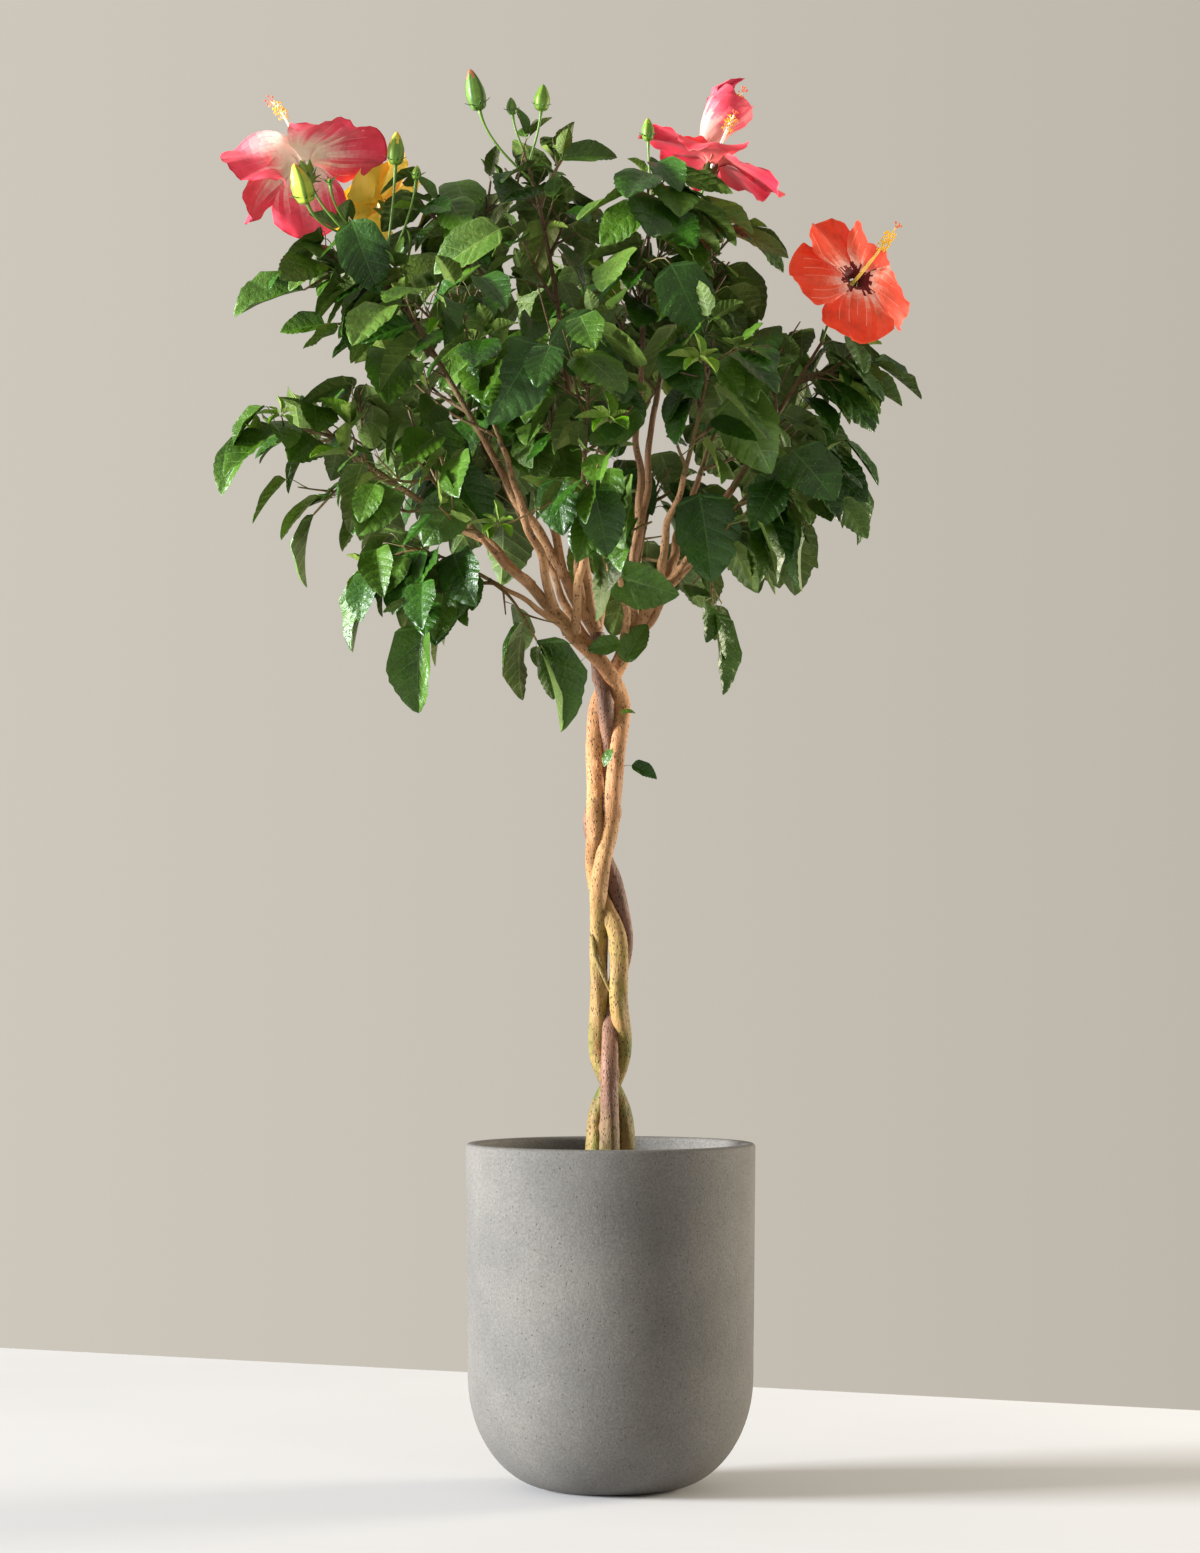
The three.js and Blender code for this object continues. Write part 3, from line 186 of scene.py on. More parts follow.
# Flowers: the limb and the share of it where the stalk leaves, the flower's middle, the azimuth and
# slope it faces, the length and width of its petals, its column's reach, and whether it is open.
BLOOM_KEYS = "limb at middle facing petal width column opened".split()
BLOOM_ROWS = {
    "bloom_coral": ("upper_left", 0.93, (-317, -30, 1367), (160, 60), 84, 66, 74, True),
    "bloom_yellow": ("upper_left", 0.86, (-243, 62, 1340), (150, 34), 42, 44, 34, True),
    "bloom_pink": ("upper_right", 0.99, (106, 0, 1371), (39, 64), 84, 64, 62, True),
    "bloom_closing": ("upper_right", 0.9, (98, 100, 1410), (10, 56), 62, 44, 76, False),
    "bloom_orange": ("right", 0.99, (250, -36, 1243), (-64, 24), 72, 62, 70, True),
}
BLOOMS = {name: record(BLOOM_KEYS, row) for name, row in BLOOM_ROWS.items()}
BLOOM = SimpleNamespace(
    throat=7, cup=18, above=26, below=22, clear=6, calyx_radius=7.5, calyx_height=24,
    stalk_radius=1.8, ruffle=5, column_radius=2, column_room=8, column_end=4,
)
# Buds: the limb and the share of it where the stalk leaves, the bud's tip, its length and radius.
BUD_KEYS = "limb at tip length radius".split()
BUD_ROWS = {
    "bud_tall": ("top", 0.93, (-146, -6, 1470), 42, 9.5),
    "bud_middle": ("top", 0.99, (-104, 6, 1443), 16, 5),
    "bud_short": ("top", 0.96, (-70, -4, 1455), 26, 8),
    "bud_coral": ("upper_left", 0.985, (-322, -78, 1352), 34, 9),
    "bud_gold": ("upper_left", 0.9, (-221, -40, 1398), 32, 8),
}
BUDS = {name: record(BUD_KEYS, row) for name, row in BUD_ROWS.items()}
BUD_RISE = 0.55

# Numbers, directions and paths.

UP = np.array([0.0, 0.0, 1.0])
ACROSS = np.array([1.0, 0.0, 0.0])
UPRIGHT = 0.95
WORD = 0xFFFFFFFF
TINY = 1e-9


def seeded(seed):
    """Random numbers from nought to one by whole-number steps, the same as in the solids' rule."""
    state = seed

    def draw():
        nonlocal state
        state = (state + 0x6D2B79F5) & WORD
        word = ((state ^ (state >> 15)) * (state | 1)) & WORD
        word ^= (word + (word ^ (word >> 7)) * (word | 61)) & WORD
        return (word ^ (word >> 14)) / (WORD + 1)

    return draw


def mix(a, b, share):
    return a + (b - a) * share


def vector(*numbers):
    return np.array(numbers, dtype=float)


def unit(v):
    return v / math.sqrt(v @ v)


def cross(a, b):
    return np.stack([
        a[..., 1] * b[..., 2] - a[..., 2] * b[..., 1],
        a[..., 2] * b[..., 0] - a[..., 0] * b[..., 2],
        a[..., 0] * b[..., 1] - a[..., 1] * b[..., 0],
    ], axis=-1)


def length_of(v):
    return np.sqrt((v * v).sum(-1))


def direction(azimuth, slope):
    """A unit vector by its azimuth from the plant's right and its slope above level."""
    a = math.radians(azimuth)
    s = math.radians(slope)
    return vector(math.cos(s) * math.cos(a), math.cos(s) * math.sin(a), math.sin(s))


def turned(v, axis, degrees):
    angle = math.radians(degrees)
    part = v * math.cos(angle) + cross(axis, v) * math.sin(angle)
    return part + axis * (axis @ v) * (1 - math.cos(angle))


def square(axis, turn):
    """A unit vector square to an axis, turned round it by an angle in degrees."""
    guide = ACROSS if abs(axis[2]) > UPRIGHT else UP
    first = unit(cross(axis, guide))
    angle = math.radians(turn)
    return first * math.cos(angle) + cross(axis, first) * math.sin(angle)


def bezier(a, b, c, d, share):
    t = np.asarray(share, dtype=float)[..., None]
    s = 1 - t
    return a * s ** 3 + b * 3 * s * s * t + c * 3 * s * t * t + d * t ** 3


def place_on(points, share):
    """A point on a run of points at a share of its length, and the heading there."""
    steps = points[1:] - points[:-1]
    lengths = length_of(steps)
    left = share * lengths.sum()
    for i, length in enumerate(lengths):
        if left <= length or i == len(lengths) - 1:
            along = steps[i] / length
            return points[i] + along * min(left, length), along
        left -= length


def catmull_rom(points, share):
    """A centripetal curve through points, at a share of the number of its spans."""
    spans = len(points) - 1
    place = spans * share
    i = min(int(place), spans - 1)
    w = place - i
    x1 = points[i]
    x2 = points[i + 1]
    x0 = points[i - 1] if i > 0 else 2 * points[0] - points[1]
    x3 = points[i + 2] if i + 2 <= spans else 2 * points[spans] - points[spans - 1]
    d0, d1, d2 = (math.sqrt(length_of(b - a)) for a, b in ((x0, x1), (x1, x2), (x2, x3)))
    t1 = ((x1 - x0) / d0 - (x2 - x0) / (d0 + d1) + (x2 - x1) / d1) * d1
    t2 = ((x2 - x1) / d1 - (x3 - x1) / (d1 + d2) + (x3 - x2) / d2) * d1
    return x1 + t1 * w + (-3 * x1 + 3 * x2 - 2 * t1 - t2) * w ** 2 + (2 * x1 - 2 * x2 + t1 + t2) * w ** 3


def stem_points(name, steps):
    route = STEMS[name][1].split()
    points = []
    for i, height in enumerate(BRAID_LEVELS):
        x, y = PLACES[route[i]]
        spread = 1 + FLARE.spread if i == 0 else 1
        bend = BEND.shift * math.exp(-(((height - BEND.height) / BEND.span) ** 2))
        points.append(vector(x * spread + bend, y * spread, height))
    return np.array([catmull_rom(points, i / steps) for i in range(steps + 1)])


# Limbs and stalks.

runs = {name: stem_points(name, STEM_STEPS) for name in STEMS}


def limb_path(limb):
    start = place_on(runs[limb.parent], limb.at)[0]
    tip = direction(limb.azimuth, 0) * limb.reach
    tip[2] = limb.height
    third = length_of(tip - start) / 3
    flat = unit((tip - start) * (1, 1, 0))
    leave, arrive = (
        flat * math.cos(math.radians(slope)) + UP * math.sin(math.radians(slope))
        for slope in (limb.leave, limb.arrive)
    )
    return lambda share: bezier(start, start + leave * third, tip - arrive * third, tip, share)


def sampled(path, start, end, steps):
    return path(np.linspace(start, end, steps + 1))


for limb in LIMBS:
    limb.path = limb_path(limb)
    limb.bough = sampled(limb.path, 0, limb.bare, BOUGH_STEPS)
    limb.stalk = sampled(limb.path, limb.bare, 1, STALK_STEPS)
    limb.stalk[0] += unit(limb.stalk[1] - limb.stalk[0]) * GAP
    limb.tip_radius = limb.girth * TIP_SHARE
    runs[limb.name] = sampled(limb.path, 0, 1, BOUGH_STEPS * 2)


def stalk_path(limb, at, end, axis):
    """A curve from a share of a limb to a flower's or bud's foot, which it meets along its axis."""
    start = place_on(runs[limb], at)[0]
    bent = end - axis * length_of(end - start) / 3
    return lambda share: bezier(start, mix(start, bent, 0.5), bent, end, share)


def set_up_bloom(bloom):
    """A flower's axis, centre, foot and stalk from where it stands and faces."""
    bloom.axis = direction(*bloom.facing)
    bloom.centre = vector(*bloom.middle)
    bloom.foot = bloom.centre - bloom.axis * BLOOM.calyx_height
    bloom.path = stalk_path(bloom.limb, bloom.at, bloom.foot, bloom.axis)


for bloom in BLOOMS.values():
    set_up_bloom(bloom)


def set_up_bud(bud, rise):
    """A bud's top, axis, foot and stalk. Its axis rises from its limb's direction towards upright."""
    bud.top = vector(*bud.tip)
    root = place_on(runs[bud.limb], bud.at)[0]
    bud.axis = unit(mix(unit(bud.top - root), UP, rise))
    bud.foot = bud.top - bud.axis * bud.length
    bud.path = stalk_path(bud.limb, bud.at, bud.foot, bud.axis)


for bud in BUDS.values():
    set_up_bud(bud, BUD_RISE)

# What leaves and twigs keep clear of: limbs and flower stalks as lines with a radius, and open
# flowers as discs with a thickness.

STALK_SPANS = 3
line_owners = []
line_rows = []


def add_lines(owner, points, radii):
    for i in range(len(points) - 1):
        line_owners.append(owner)
        line_rows.append([*points[i], *points[i + 1], max(radii[i], radii[i + 1])])


def add_stalked_lines(owner, part, end, radius):
    """A flower's or bud's lines: its stalk but for the start, and its body from its foot."""
    add_lines(owner, sampled(part.path, 0, 1, STALK_SPANS)[1:], [BLOOM.stalk_radius] * STALK_SPANS)
    add_lines(owner, [part.foot, end], [radius, radius])


for name, (radius, _) in STEMS.items():
    add_lines(name, runs[name], [radius] * len(runs[name]))
for limb in LIMBS:
    add_lines(limb.name, limb.bough, np.linspace(limb.girth, limb.tip_radius, BOUGH_STEPS + 1))
    add_lines(f"leaves_{limb.name}", limb.stalk, [limb.tip_radius] * (STALK_STEPS + 1))
for name, bloom in BLOOMS.items():
    column_top = bloom.centre + bloom.axis * (bloom.column + BLOOM.column_end)
    add_stalked_lines(name, bloom, column_top, BLOOM.column_room)
for name, bud in BUDS.items():
    add_stalked_lines(name, bud, bud.top, bud.radius)

line_owners = np.array(line_owners)
line_rows = np.array(line_rows)
line_starts = line_rows[:, 0:3]
line_ends = line_rows[:, 3:6]
line_radii = line_rows[:, 6]
line_lengths = length_of(line_ends - line_starts)

# The crown's heart, and each mass's own middle.
heart = vector(CROWN.x, CROWN.y, CROWN.heart)
sites = []
for limb in LIMBS:
    middle = place_on(limb.stalk, SITE.share)[0]
    sites.append(middle + unit(middle - heart) * SITE.outward)
sites = np.array(sites)


def in_space(index, points, margin):
    """Whether points lie nearer to a mass's own middle than to any other mass's."""
    between = np.delete(sites, index, axis=0) - sites[index]
    lengths = length_of(between)
    along = (points - sites[index]) @ (between / lengths[:, None]).T
    return bool((along < lengths / 2 - margin).all())


# Openings in the crown as they show from the front. Sky shows through the first kind, given by
# across, height and radius at the pot's depth. The second kind runs along limbs that no leaf hides,
# given by a limb and two shares of it. The third kind runs along limbs that also show in places
# between the dressed leaves.

VIEW = SimpleNamespace(x=-11, z=583, distance=4500)
SKY_DEPTH = 1000
SKY = [
    (-170, 1380, 26), (-110, 1485, 32), (-15, 1355, 18), (75, 1415, 14), (125, 1485, 28),
    (150, 1390, 20), (185, 1315, 22), (320, 1275, 30), (140, 1275, 16), (185, 1220, 20),
    (320, 1170, 26), (265, 1090, 16), (230, 980, 22), (135, 920, 20), (75, 895, 22),
    (50, 990, 14), (-5, 820, 26), (-70, 780, 24), (-65, 885, 14), (-125, 895, 22),
    (-235, 875, 20), (-305, 935, 22), (-305, 990, 20), (-315, 1040, 20), (-350, 1055, 14),
    (-345, 1165, 28), (-330, 1225, 20), (-385, 1275, 24),
]
SHOWN = [
    ("left_outer", 0.02, 0.72), ("upper_left", 0.26, 0.66), ("top", 0.5, 0.92), ("right", 0, 0.34),
    ("right", 0.78, 0.98), ("left_low", 0.1, 0.46), ("upper_right", 0.05, 0.2), ("front_right", 0, 0.3),
    ("front", 0, 0.24), ("top", 0, 0.14), ("upper_mid", 0, 0.12),
]
GLIMPSED = [
    ("upper_left", 0.1, 0.8), ("front_right", 0.5, 0.85), ("right", 0.34, 0.6), ("right_mid", 0.1, 0.4),
    ("front_left", 0.1, 0.3), ("upper_right", 0.3, 0.6),
]
SHOWN_ROOM = 7
SHOWN_STEPS = 16
CLEAR_SHARE = SimpleNamespace(large=0.4, small=0.85)


def blade_samples(leaf):
    """Points on a leaf's corners, its keel, its middle and its two outer edges."""
    middles = [leaf.centre, mix(leaf.left, leaf.tip, 0.5), mix(leaf.right, leaf.tip, 0.5)]
    return np.array([leaf.base, leaf.left, leaf.right, leaf.keel, leaf.tip, *middles])


def seen(points):
    """Where points show from the front, as across and height at the pot's depth."""
    scale = VIEW.distance / (VIEW.distance + points[..., 1])
    return np.stack([
        VIEW.x + (points[..., 0] - VIEW.x) * scale, VIEW.z + (points[..., 2] - VIEW.z) * scale], axis=-1)


def limb_openings(stretches):
    """Openings along stretches of limbs: across, height, radius, and the depth of the limb."""
    rows = []
    for name, start, end in stretches:
        for share in np.linspace(start, end, SHOWN_STEPS):
            point = place_on(runs[name], share)[0]
            rows.append((*seen(point), SHOWN_ROOM, point[1]))
    return rows


opening_rows = np.array([(x, z, radius, SKY_DEPTH) for x, z, radius in SKY] + limb_openings(SHOWN))
cleared_rows = np.concatenate([opening_rows, limb_openings(GLIMPSED)])


def in_opening(leaf):
    """Whether a sample of a blade, as it shows from the front, lies in an opening."""
    points = blade_samples(leaf)
    off = length_of(seen(points)[:, None] - opening_rows[:, :2])
    return bool(((off < opening_rows[:, 2]) & (points[:, 1, None] < opening_rows[:, 3])).any())


def covers_opening(leaf, kept_clear):
    """Whether a blade, as it shows from the front, lies over the middle of an opening."""
    centres = cleared_rows[:, :2]
    gap = np.full(len(centres), np.inf)
    for triangle in seen(leaf.faces):
        sides = []
        for k in range(3):
            start = triangle[k]
            run = triangle[(k + 1) % 3] - start
            off = centres - start
            share = np.clip(off @ run / max(run @ run, TINY), 0, 1)
            gap = np.minimum(gap, length_of(off - share[:, None] * run))
            sides.append(run[0] * off[:, 1] - run[1] * off[:, 0])
        inside = (np.min(sides, axis=0) >= 0) | (np.max(sides, axis=0) <= 0)
        gap[inside] = 0
    covered = (gap < cleared_rows[:, 2] * kept_clear) & (leaf.centre[1] < cleared_rows[:, 3])
    return bool(covered.any())


def segment_gaps(a, b, c, d):
    """Least distances between segments ab and cd, over arrays that broadcast."""
    first = b - a
    second = d - c
    across = a - c
    aa = (first * first).sum(-1)
    bb = (second * second).sum(-1)
    ab = (first * second).sum(-1)
    ac = (first * across).sum(-1)
    bc = (second * across).sum(-1)
    det = aa * bb - ab * ab
    level = det <= TINY
    s = np.where(level, 0, np.clip((ab * bc - ac * bb) / np.where(level, 1, det), 0, 1))
    t = (ab * s + bc) / bb
    s = np.where(t < 0, np.clip(-ac / aa, 0, 1), np.where(t > 1, np.clip((ab - ac) / aa, 0, 1), s))
    t = np.clip(t, 0, 1)
    return length_of(across + first * s[..., None] - second * t[..., None])


def pierces(a, b, p, q, r):
    """Whether segments ab pass through triangles pqr, over arrays that broadcast."""
    heading = b - a
    e1 = q - p
    e2 = r - p
    h = cross(heading, e2)
    det = (e1 * h).sum(-1)
    flat = np.abs(det) < TINY
    det = np.where(flat, 1, det)
    s = a - p
    u = (s * h).sum(-1) / det
    k = cross(s, e1)
    v = (heading * k).sum(-1) / det
    t = (e2 * k).sum(-1) / det
    return ~flat & (u >= 0) & (v >= 0) & (u + v <= 1) & (t >= 0) & (t <= 1)


def over_face(points, p, q, r):
    """Distances of points from a triangle's plane, where they are over the triangle."""
    normal = cross(q - p, r - p)
    normal = normal / length_of(normal)[..., None]
    height = ((points - p) * normal).sum(-1)
    foot = points - normal * height[..., None]
    inside = np.ones(height.shape, dtype=bool)
    for one, other in ((p, q), (q, r), (r, p)):
        inside &= (cross(other - one, foot - one) * normal).sum(-1) >= 0
    return np.where(inside, np.abs(height), np.inf)


def blade_gaps(leaf, starts, ends):
    """Least distances of a leaf's two faces from segments."""
    gap = segment_gaps(leaf.edges[:, None, 0], leaf.edges[:, None, 1], starts, ends).min(axis=0)
    for p, q, r in leaf.faces:
        gap = np.minimum(gap, over_face(starts, p, q, r))
        gap = np.minimum(gap, over_face(ends, p, q, r))
        gap = np.where(pierces(starts, ends, p, q, r), 0, gap)
    return gap


def blades_cross(leaf, others):
    """Whether a leaf with its stalk and any of some others pass through each other."""
    faces = np.concatenate([other.faces for other in others])
    lines = np.concatenate([other.edges for other in others] + [[other.stalk] for other in others])
    own = np.concatenate([leaf.edges, [leaf.stalk]])
    if pierces(own[:, None, 0], own[:, None, 1], faces[:, 0], faces[:, 1], faces[:, 2]).any():
        return True
    own = leaf.faces
    return bool(pierces(lines[:, None, 0], lines[:, None, 1], own[:, 0], own[:, 1], own[:, 2]).any())


def in_bloom(points):
    """Whether a point lies in an open flower's disc or in the closing flower's tube."""
    for bloom in BLOOMS.values():
        off = points - bloom.centre
        along = off @ bloom.axis
        out = np.sqrt(np.maximum((off * off).sum(-1) - along * along, 0))
        reach = (bloom.petal if bloom.opened else bloom.width / 2) + BLOOM.clear
        top = BLOOM.above if bloom.opened else bloom.petal + BLOOM.clear
        low = -BLOOM.below if bloom.opened else -BLOOM.clear
        if ((out < reach) & (along > low) & (along < top)).any():
            return True
    return False


def twig_is_free(index, points, radius):
    others = line_owners != f"leaves_{LIMBS[index].name}"
    if not in_space(index, points[1:], radius + SPACE_MARGIN) or in_bloom(points[1:]):
        return False
    gaps = segment_gaps(points[:-1, None], points[1:, None], line_starts[others], line_ends[others])
    return not (gaps < line_radii[others] + radius + LIMB_CLEARANCE).any()


def leaf_is_free(index, leaf, twig_lines, leaves):
    samples = blade_samples(leaf)
    if not in_space(index, samples, SPACE_MARGIN + LEAF.stalk_radius) or in_bloom(samples):
        return False
    half = leaf.length / 2
    near = length_of(leaf.centre - line_starts) - line_lengths < half + NEAR.line + line_radii
    near &= line_owners != f"leaves_{LIMBS[index].name}"
    if near.any():
        room = line_radii[near] + LIMB_CLEARANCE
        starts = line_starts[near]
        ends = line_ends[near]
        if (blade_gaps(leaf, starts, ends) < room).any():
            return False
        if (segment_gaps(leaf.root, leaf.base, starts, ends) < room + LEAF.stalk_radius).any():
            return False
    close = [
        other for other in leaves
        if length_of(other.centre - leaf.centre) < half + other.length / 2 + NEAR.leaf
    ]
    if close and blades_cross(leaf, close):
        return False
    if len(twig_lines):
        p, q, r = leaf.faces.transpose(1, 0, 2)
        return not pierces(twig_lines[:, None, 0], twig_lines[:, None, 1], p, q, r).any()
    return True


def leaf_shape(root, base, ahead, roll, length):
    """A leaf's named points: its stalk runs from root to base, and its upper face looks up."""
    top = turned(unit(UP - ahead * (UP @ ahead)), ahead, roll)
    side = cross(top, ahead)
    middle = base + ahead * length * LEAF.widest
    half = length * LEAF.width_share / 2
    rise = top * length * LEAF.edge_rise
    leaf = SimpleNamespace(
        root=root, base=base, ahead=ahead, top=top, side=side, length=length,
        left=middle + side * half + rise, right=middle - side * half + rise,
        keel=middle - top * LEAF.thickness,
        tip=base + ahead * length - top * length * LEAF.tip_fall)
    leaf.centre = mix(base, leaf.tip, 0.5)
    leaf.faces = np.array([[base, leaf.left, leaf.tip], [base, leaf.right, leaf.tip]])
    corners = [(base, leaf.left), (leaf.left, leaf.tip), (leaf.tip, base)]
    corners += [(base, leaf.right), (leaf.right, leaf.tip)]
    leaf.edges = np.array(corners)
    leaf.stalk = np.array([root, base])
    return leaf


def leaf_between(root, base, tip, roll):
    """A leaf whose blade begins at one point and heads for another."""
    ahead = vector(*tip) - base
    return leaf_shape(root, base, unit(ahead), roll, float(length_of(ahead)))


def hanging_leaf(root, along, turn, length, random):
    """A leaf that hangs outward from its twig, the lower in the crown the steeper."""
    outward = unit(vector(root[0] - CROWN.x, root[1] - CROWN.y, 0))
    away = square(along, turn) * PULL.away + along * PULL.along + outward * PULL.outward
    away = unit(away + UP * PULL.up)
    base = root + away * mix(LEAF.stalk_shortest, LEAF.stalk_longest, random())
    heading = unit(away * (1, 1, 0) + outward * PULL.outward)
    heading = turned(heading, UP, LEAF.turn * (2 * random() - 1))
    height = min(max((root[2] - CROWN.low) / (CROWN.high - CROWN.low), 0), 1)
    slope = mix(LEAF.droop_low, LEAF.droop_top, height) + LEAF.wander * (2 * random() - 1)
    droop = math.radians(slope)
    ahead = heading * math.cos(droop) - UP * math.sin(droop)
    return leaf_shape(root, base, ahead, LEAF.roll * (2 * random() - 1), length)


# The growth rule: the masses' stems, trailers and side shoots that turn by the golden angle, and
# leaves along them.


def new_twig(points, radius, leaves):
    return SimpleNamespace(points=points, radius=radius, leaves=leaves)


def grow_twigs(limb, index, random, leaves):
    """A mass's stem, trailers and side shoots. The trailers' leaves are added to the leaves."""
    twigs = [new_twig(limb.stalk, limb.tip_radius * STALK_SHARE, limb.lush + LEAF.extra_on_stem)]
    for name, at, end, tip, roll in TRAILERS:
        if name != limb.name:
            continue
        node = place_on(limb.stalk, at)[0]
        end = vector(*end)
        bend = mix(node, end, 0.5) + UP * TWIG.trailer_rise * length_of(end - node)
        points = bezier(node, bend, bend, end, np.linspace(0, 1, TWIG.steps + 2))
        leaf = leaf_between(place_on(points, TWIG.trailer_root)[0], end, tip, roll)
        if twig_is_free(index, points, TWIG.radius) and leaf_is_free(index, leaf, [], leaves):
            twigs.append(new_twig(points, TWIG.radius, 1))
            leaf.tone = "hanging"
            leaves.append(leaf)
    for k in range(limb.shoots):
        share = TWIG.first + TWIG.span * k / limb.shoots
        node, along = place_on(limb.stalk, share)
        outward = unit(node - heart)
        turn = GOLDEN_ANGLE * k + TWIG.turn_wander * random()
        opening = math.radians(TWIG.opening + TWIG.wander * (2 * random() - 1))
        vigour = mix(TWIG.shortest, TWIG.longest, random())
        length = limb.spread * (1 - TWIG.shortening * share) * vigour
        for attempt in range(TWIG.tries):
            out = square(along, turn + attempt * TWIG.retry_turn)
            heading = along * math.cos(opening) + out * math.sin(opening) + outward * TWIG.outward
            heading = unit(heading)
            reach = length * TWIG.retry_length ** attempt
            bend = node + heading * reach * TWIG.bend
            tip = node + heading * reach + UP * reach * TWIG.lift
            early = mix(node, bend, TWIG.straight)
            points = bezier(node, early, bend, tip, np.linspace(0, 1, TWIG.steps + 1))
            if twig_is_free(index, points, TWIG.radius):
                twigs.append(new_twig(points, TWIG.radius, limb.lush))
                break
    return twigs


def lines_of(twigs):
    return np.concatenate([np.stack([t.points[:-1], t.points[1:]], axis=1) for t in twigs])


def fitting_leaf(root, along, turn, length, tries, random, fits):
    """The first leaf that fits, of some that turn on and shorten, or None."""
    for attempt in range(tries):
        reach = length * LEAF.retry_length ** attempt
        leaf = hanging_leaf(root, along, turn + attempt * LEAF.retry_turn, reach, random)
        if fits(leaf):
            return leaf
    return None


def grow_mass(limb, index):
    """A mass's twigs and leaves, as the solids have them."""
    random = seeded(limb.seed)
    leaves = []
    twigs = grow_twigs(limb, index, random, leaves)
    twig_lines = lines_of(twigs)

    def fits(leaf):
        return not in_opening(leaf) and leaf_is_free(index, leaf, twig_lines, leaves)

    for twig in twigs:
        start = 180 * random()
        for j in range(twig.leaves):
            share = mix(LEAF.first, LEAF.last, 0.5 if twig.leaves == 1 else j / (twig.leaves - 1))
            root, along = place_on(twig.points, share)
            length = mix(LEAF.shortest, LEAF.longest, random()) * mix(1, LEAF.end_share, share)
            leaf = fitting_leaf(root, along, start + GOLDEN_ANGLE * j, length, LEAF.tries, random, fits)
            if leaf:
                leaves.append(leaf)
    return twigs, leaves


# Finer growth in the same spaces: sprigs off the twigs, smaller leaves along both, and the
# youngest leaves at their tips. All stay within the reach of the solids.

FINE = SimpleNamespace(
    seed=400, sprigs=2, first=0.24, span=0.74, opening=50, shortest=24, longest=54, radius=1.2,
    early=0.4, late=0.2, lift=0.12, tries=5, retry_turn=73, sprig_leaves=3, twig_leaves=3,
    leaf_shortest=44, leaf_longest=78, leaf_first=0.15, leaf_last=0.97, leaf_tries=6, young_every=3,
)
TIP = SimpleNamespace(
    leaves=4, shortest=16, longest=38, sizes=(0.8, 1.2), opening=44, openings=(0.5, 1.3), rise=0.2,
    stalk=6,
)
REACH_MARGIN = 6
REACH = np.array(cad_box) / MM + [[REACH_MARGIN], [-REACH_MARGIN]]
TONES = ["dark", "dark", "dark", "dark", "mid", "mid", "mid", "light"]


def is_open(leaf):
    """Whether a leaf lies within the solids' reach and out of the openings."""
    samples = blade_samples(leaf)
    within = bool((samples > REACH[0]).all() and (samples < REACH[1]).all())
    return within and not in_opening(leaf) and not covers_opening(leaf, CLEAR_SHARE.small)


def grow_sprigs(limb, index, random):
    sprigs = []
    for twig in limb.twigs:
        for k in range(FINE.sprigs):
            node, along = place_on(twig.points, FINE.first + FINE.span * k / FINE.sprigs)
            turn = GOLDEN_ANGLE * k + 180 * random()
            reach = mix(FINE.shortest, FINE.longest, random())
            for attempt in range(FINE.tries):
                out = square(along, turn + attempt * FINE.retry_turn)
                opening = math.radians(FINE.opening)
                heading = unit(along * math.cos(opening) + out * math.sin(opening)
                               + unit(node - heart) * TWIG.outward)
                tip = node + heading * reach + UP * reach * FINE.lift
                early = node + heading * reach * FINE.early
                late = tip - heading * reach * FINE.late
                points = bezier(node, early, late, tip, np.linspace(0, 1, TWIG.steps + 1))
                if twig_is_free(index, points, FINE.radius):
                    sprigs.append(new_twig(points, FINE.radius, FINE.sprig_leaves))
                    break
    return sprigs


def grow_tip(twig, random):
    """The youngest leaves, which stand up round a twig's tip."""
    tip, along = place_on(twig.points, 1)
    first = 180 * random()
    for k in range(TIP.leaves):
        out = square(along, first + GOLDEN_ANGLE * k)
        opening = math.radians(TIP.opening * mix(*TIP.openings, random()))
        ahead = unit(along * math.cos(opening) + out * math.sin(opening) + UP * TIP.rise)
        length = mix(TIP.longest, TIP.shortest, k / TIP.leaves) * mix(*TIP.sizes, random())
        base = tip + ahead * TIP.stalk
        yield leaf_shape(tip - along, base, ahead, LEAF.roll * (2 * random() - 1), length)


def refine(limb, index):
    """Adds a mass's sprigs, smaller leaves and tip leaves, and gives every leaf its tone."""
    random = seeded(limb.seed + FINE.seed)
    sprigs = grow_sprigs(limb, index, random)
    twigs = limb.twigs + sprigs
    twig_lines = lines_of(twigs)

    def fits(leaf, lines=twig_lines):
        return is_open(leaf) and leaf_is_free(index, leaf, lines, limb.leaves)

    def bear(twig, leaf, tone):
        leaf.tone = tone
        twig.bears = True
        limb.leaves.append(leaf)

    for leaf in limb.leaves:
        tone = TONES[int(random() * len(TONES))]
        if not hasattr(leaf, "tone"):
            leaf.tone = tone
    for order, twig in enumerate(twigs):
        count = FINE.twig_leaves if order < len(limb.twigs) else FINE.sprig_leaves
        start = 180 * random()
        tone = TONES[int(random() * len(TONES))]
        for j in range(count):
            share = mix(FINE.leaf_first, FINE.leaf_last, (j + 0.5 * random()) / count)
            root, along = place_on(twig.points, share)
            length = mix(FINE.leaf_shortest, FINE.leaf_longest, random())
            turn = start + GOLDEN_ANGLE * j
            leaf = fitting_leaf(root, along, turn, length, FINE.leaf_tries, random, fits)
            if leaf:
                bear(twig, leaf, tone)
    for order, twig in enumerate(twigs[1:]):
        for leaf in grow_tip(twig, random):
            if fits(leaf, lines=[]):
                bear(twig, leaf, "mid" if order % FINE.young_every else "young")
    limb.sprigs = [sprig for sprig in sprigs if hasattr(sprig, "bears")]


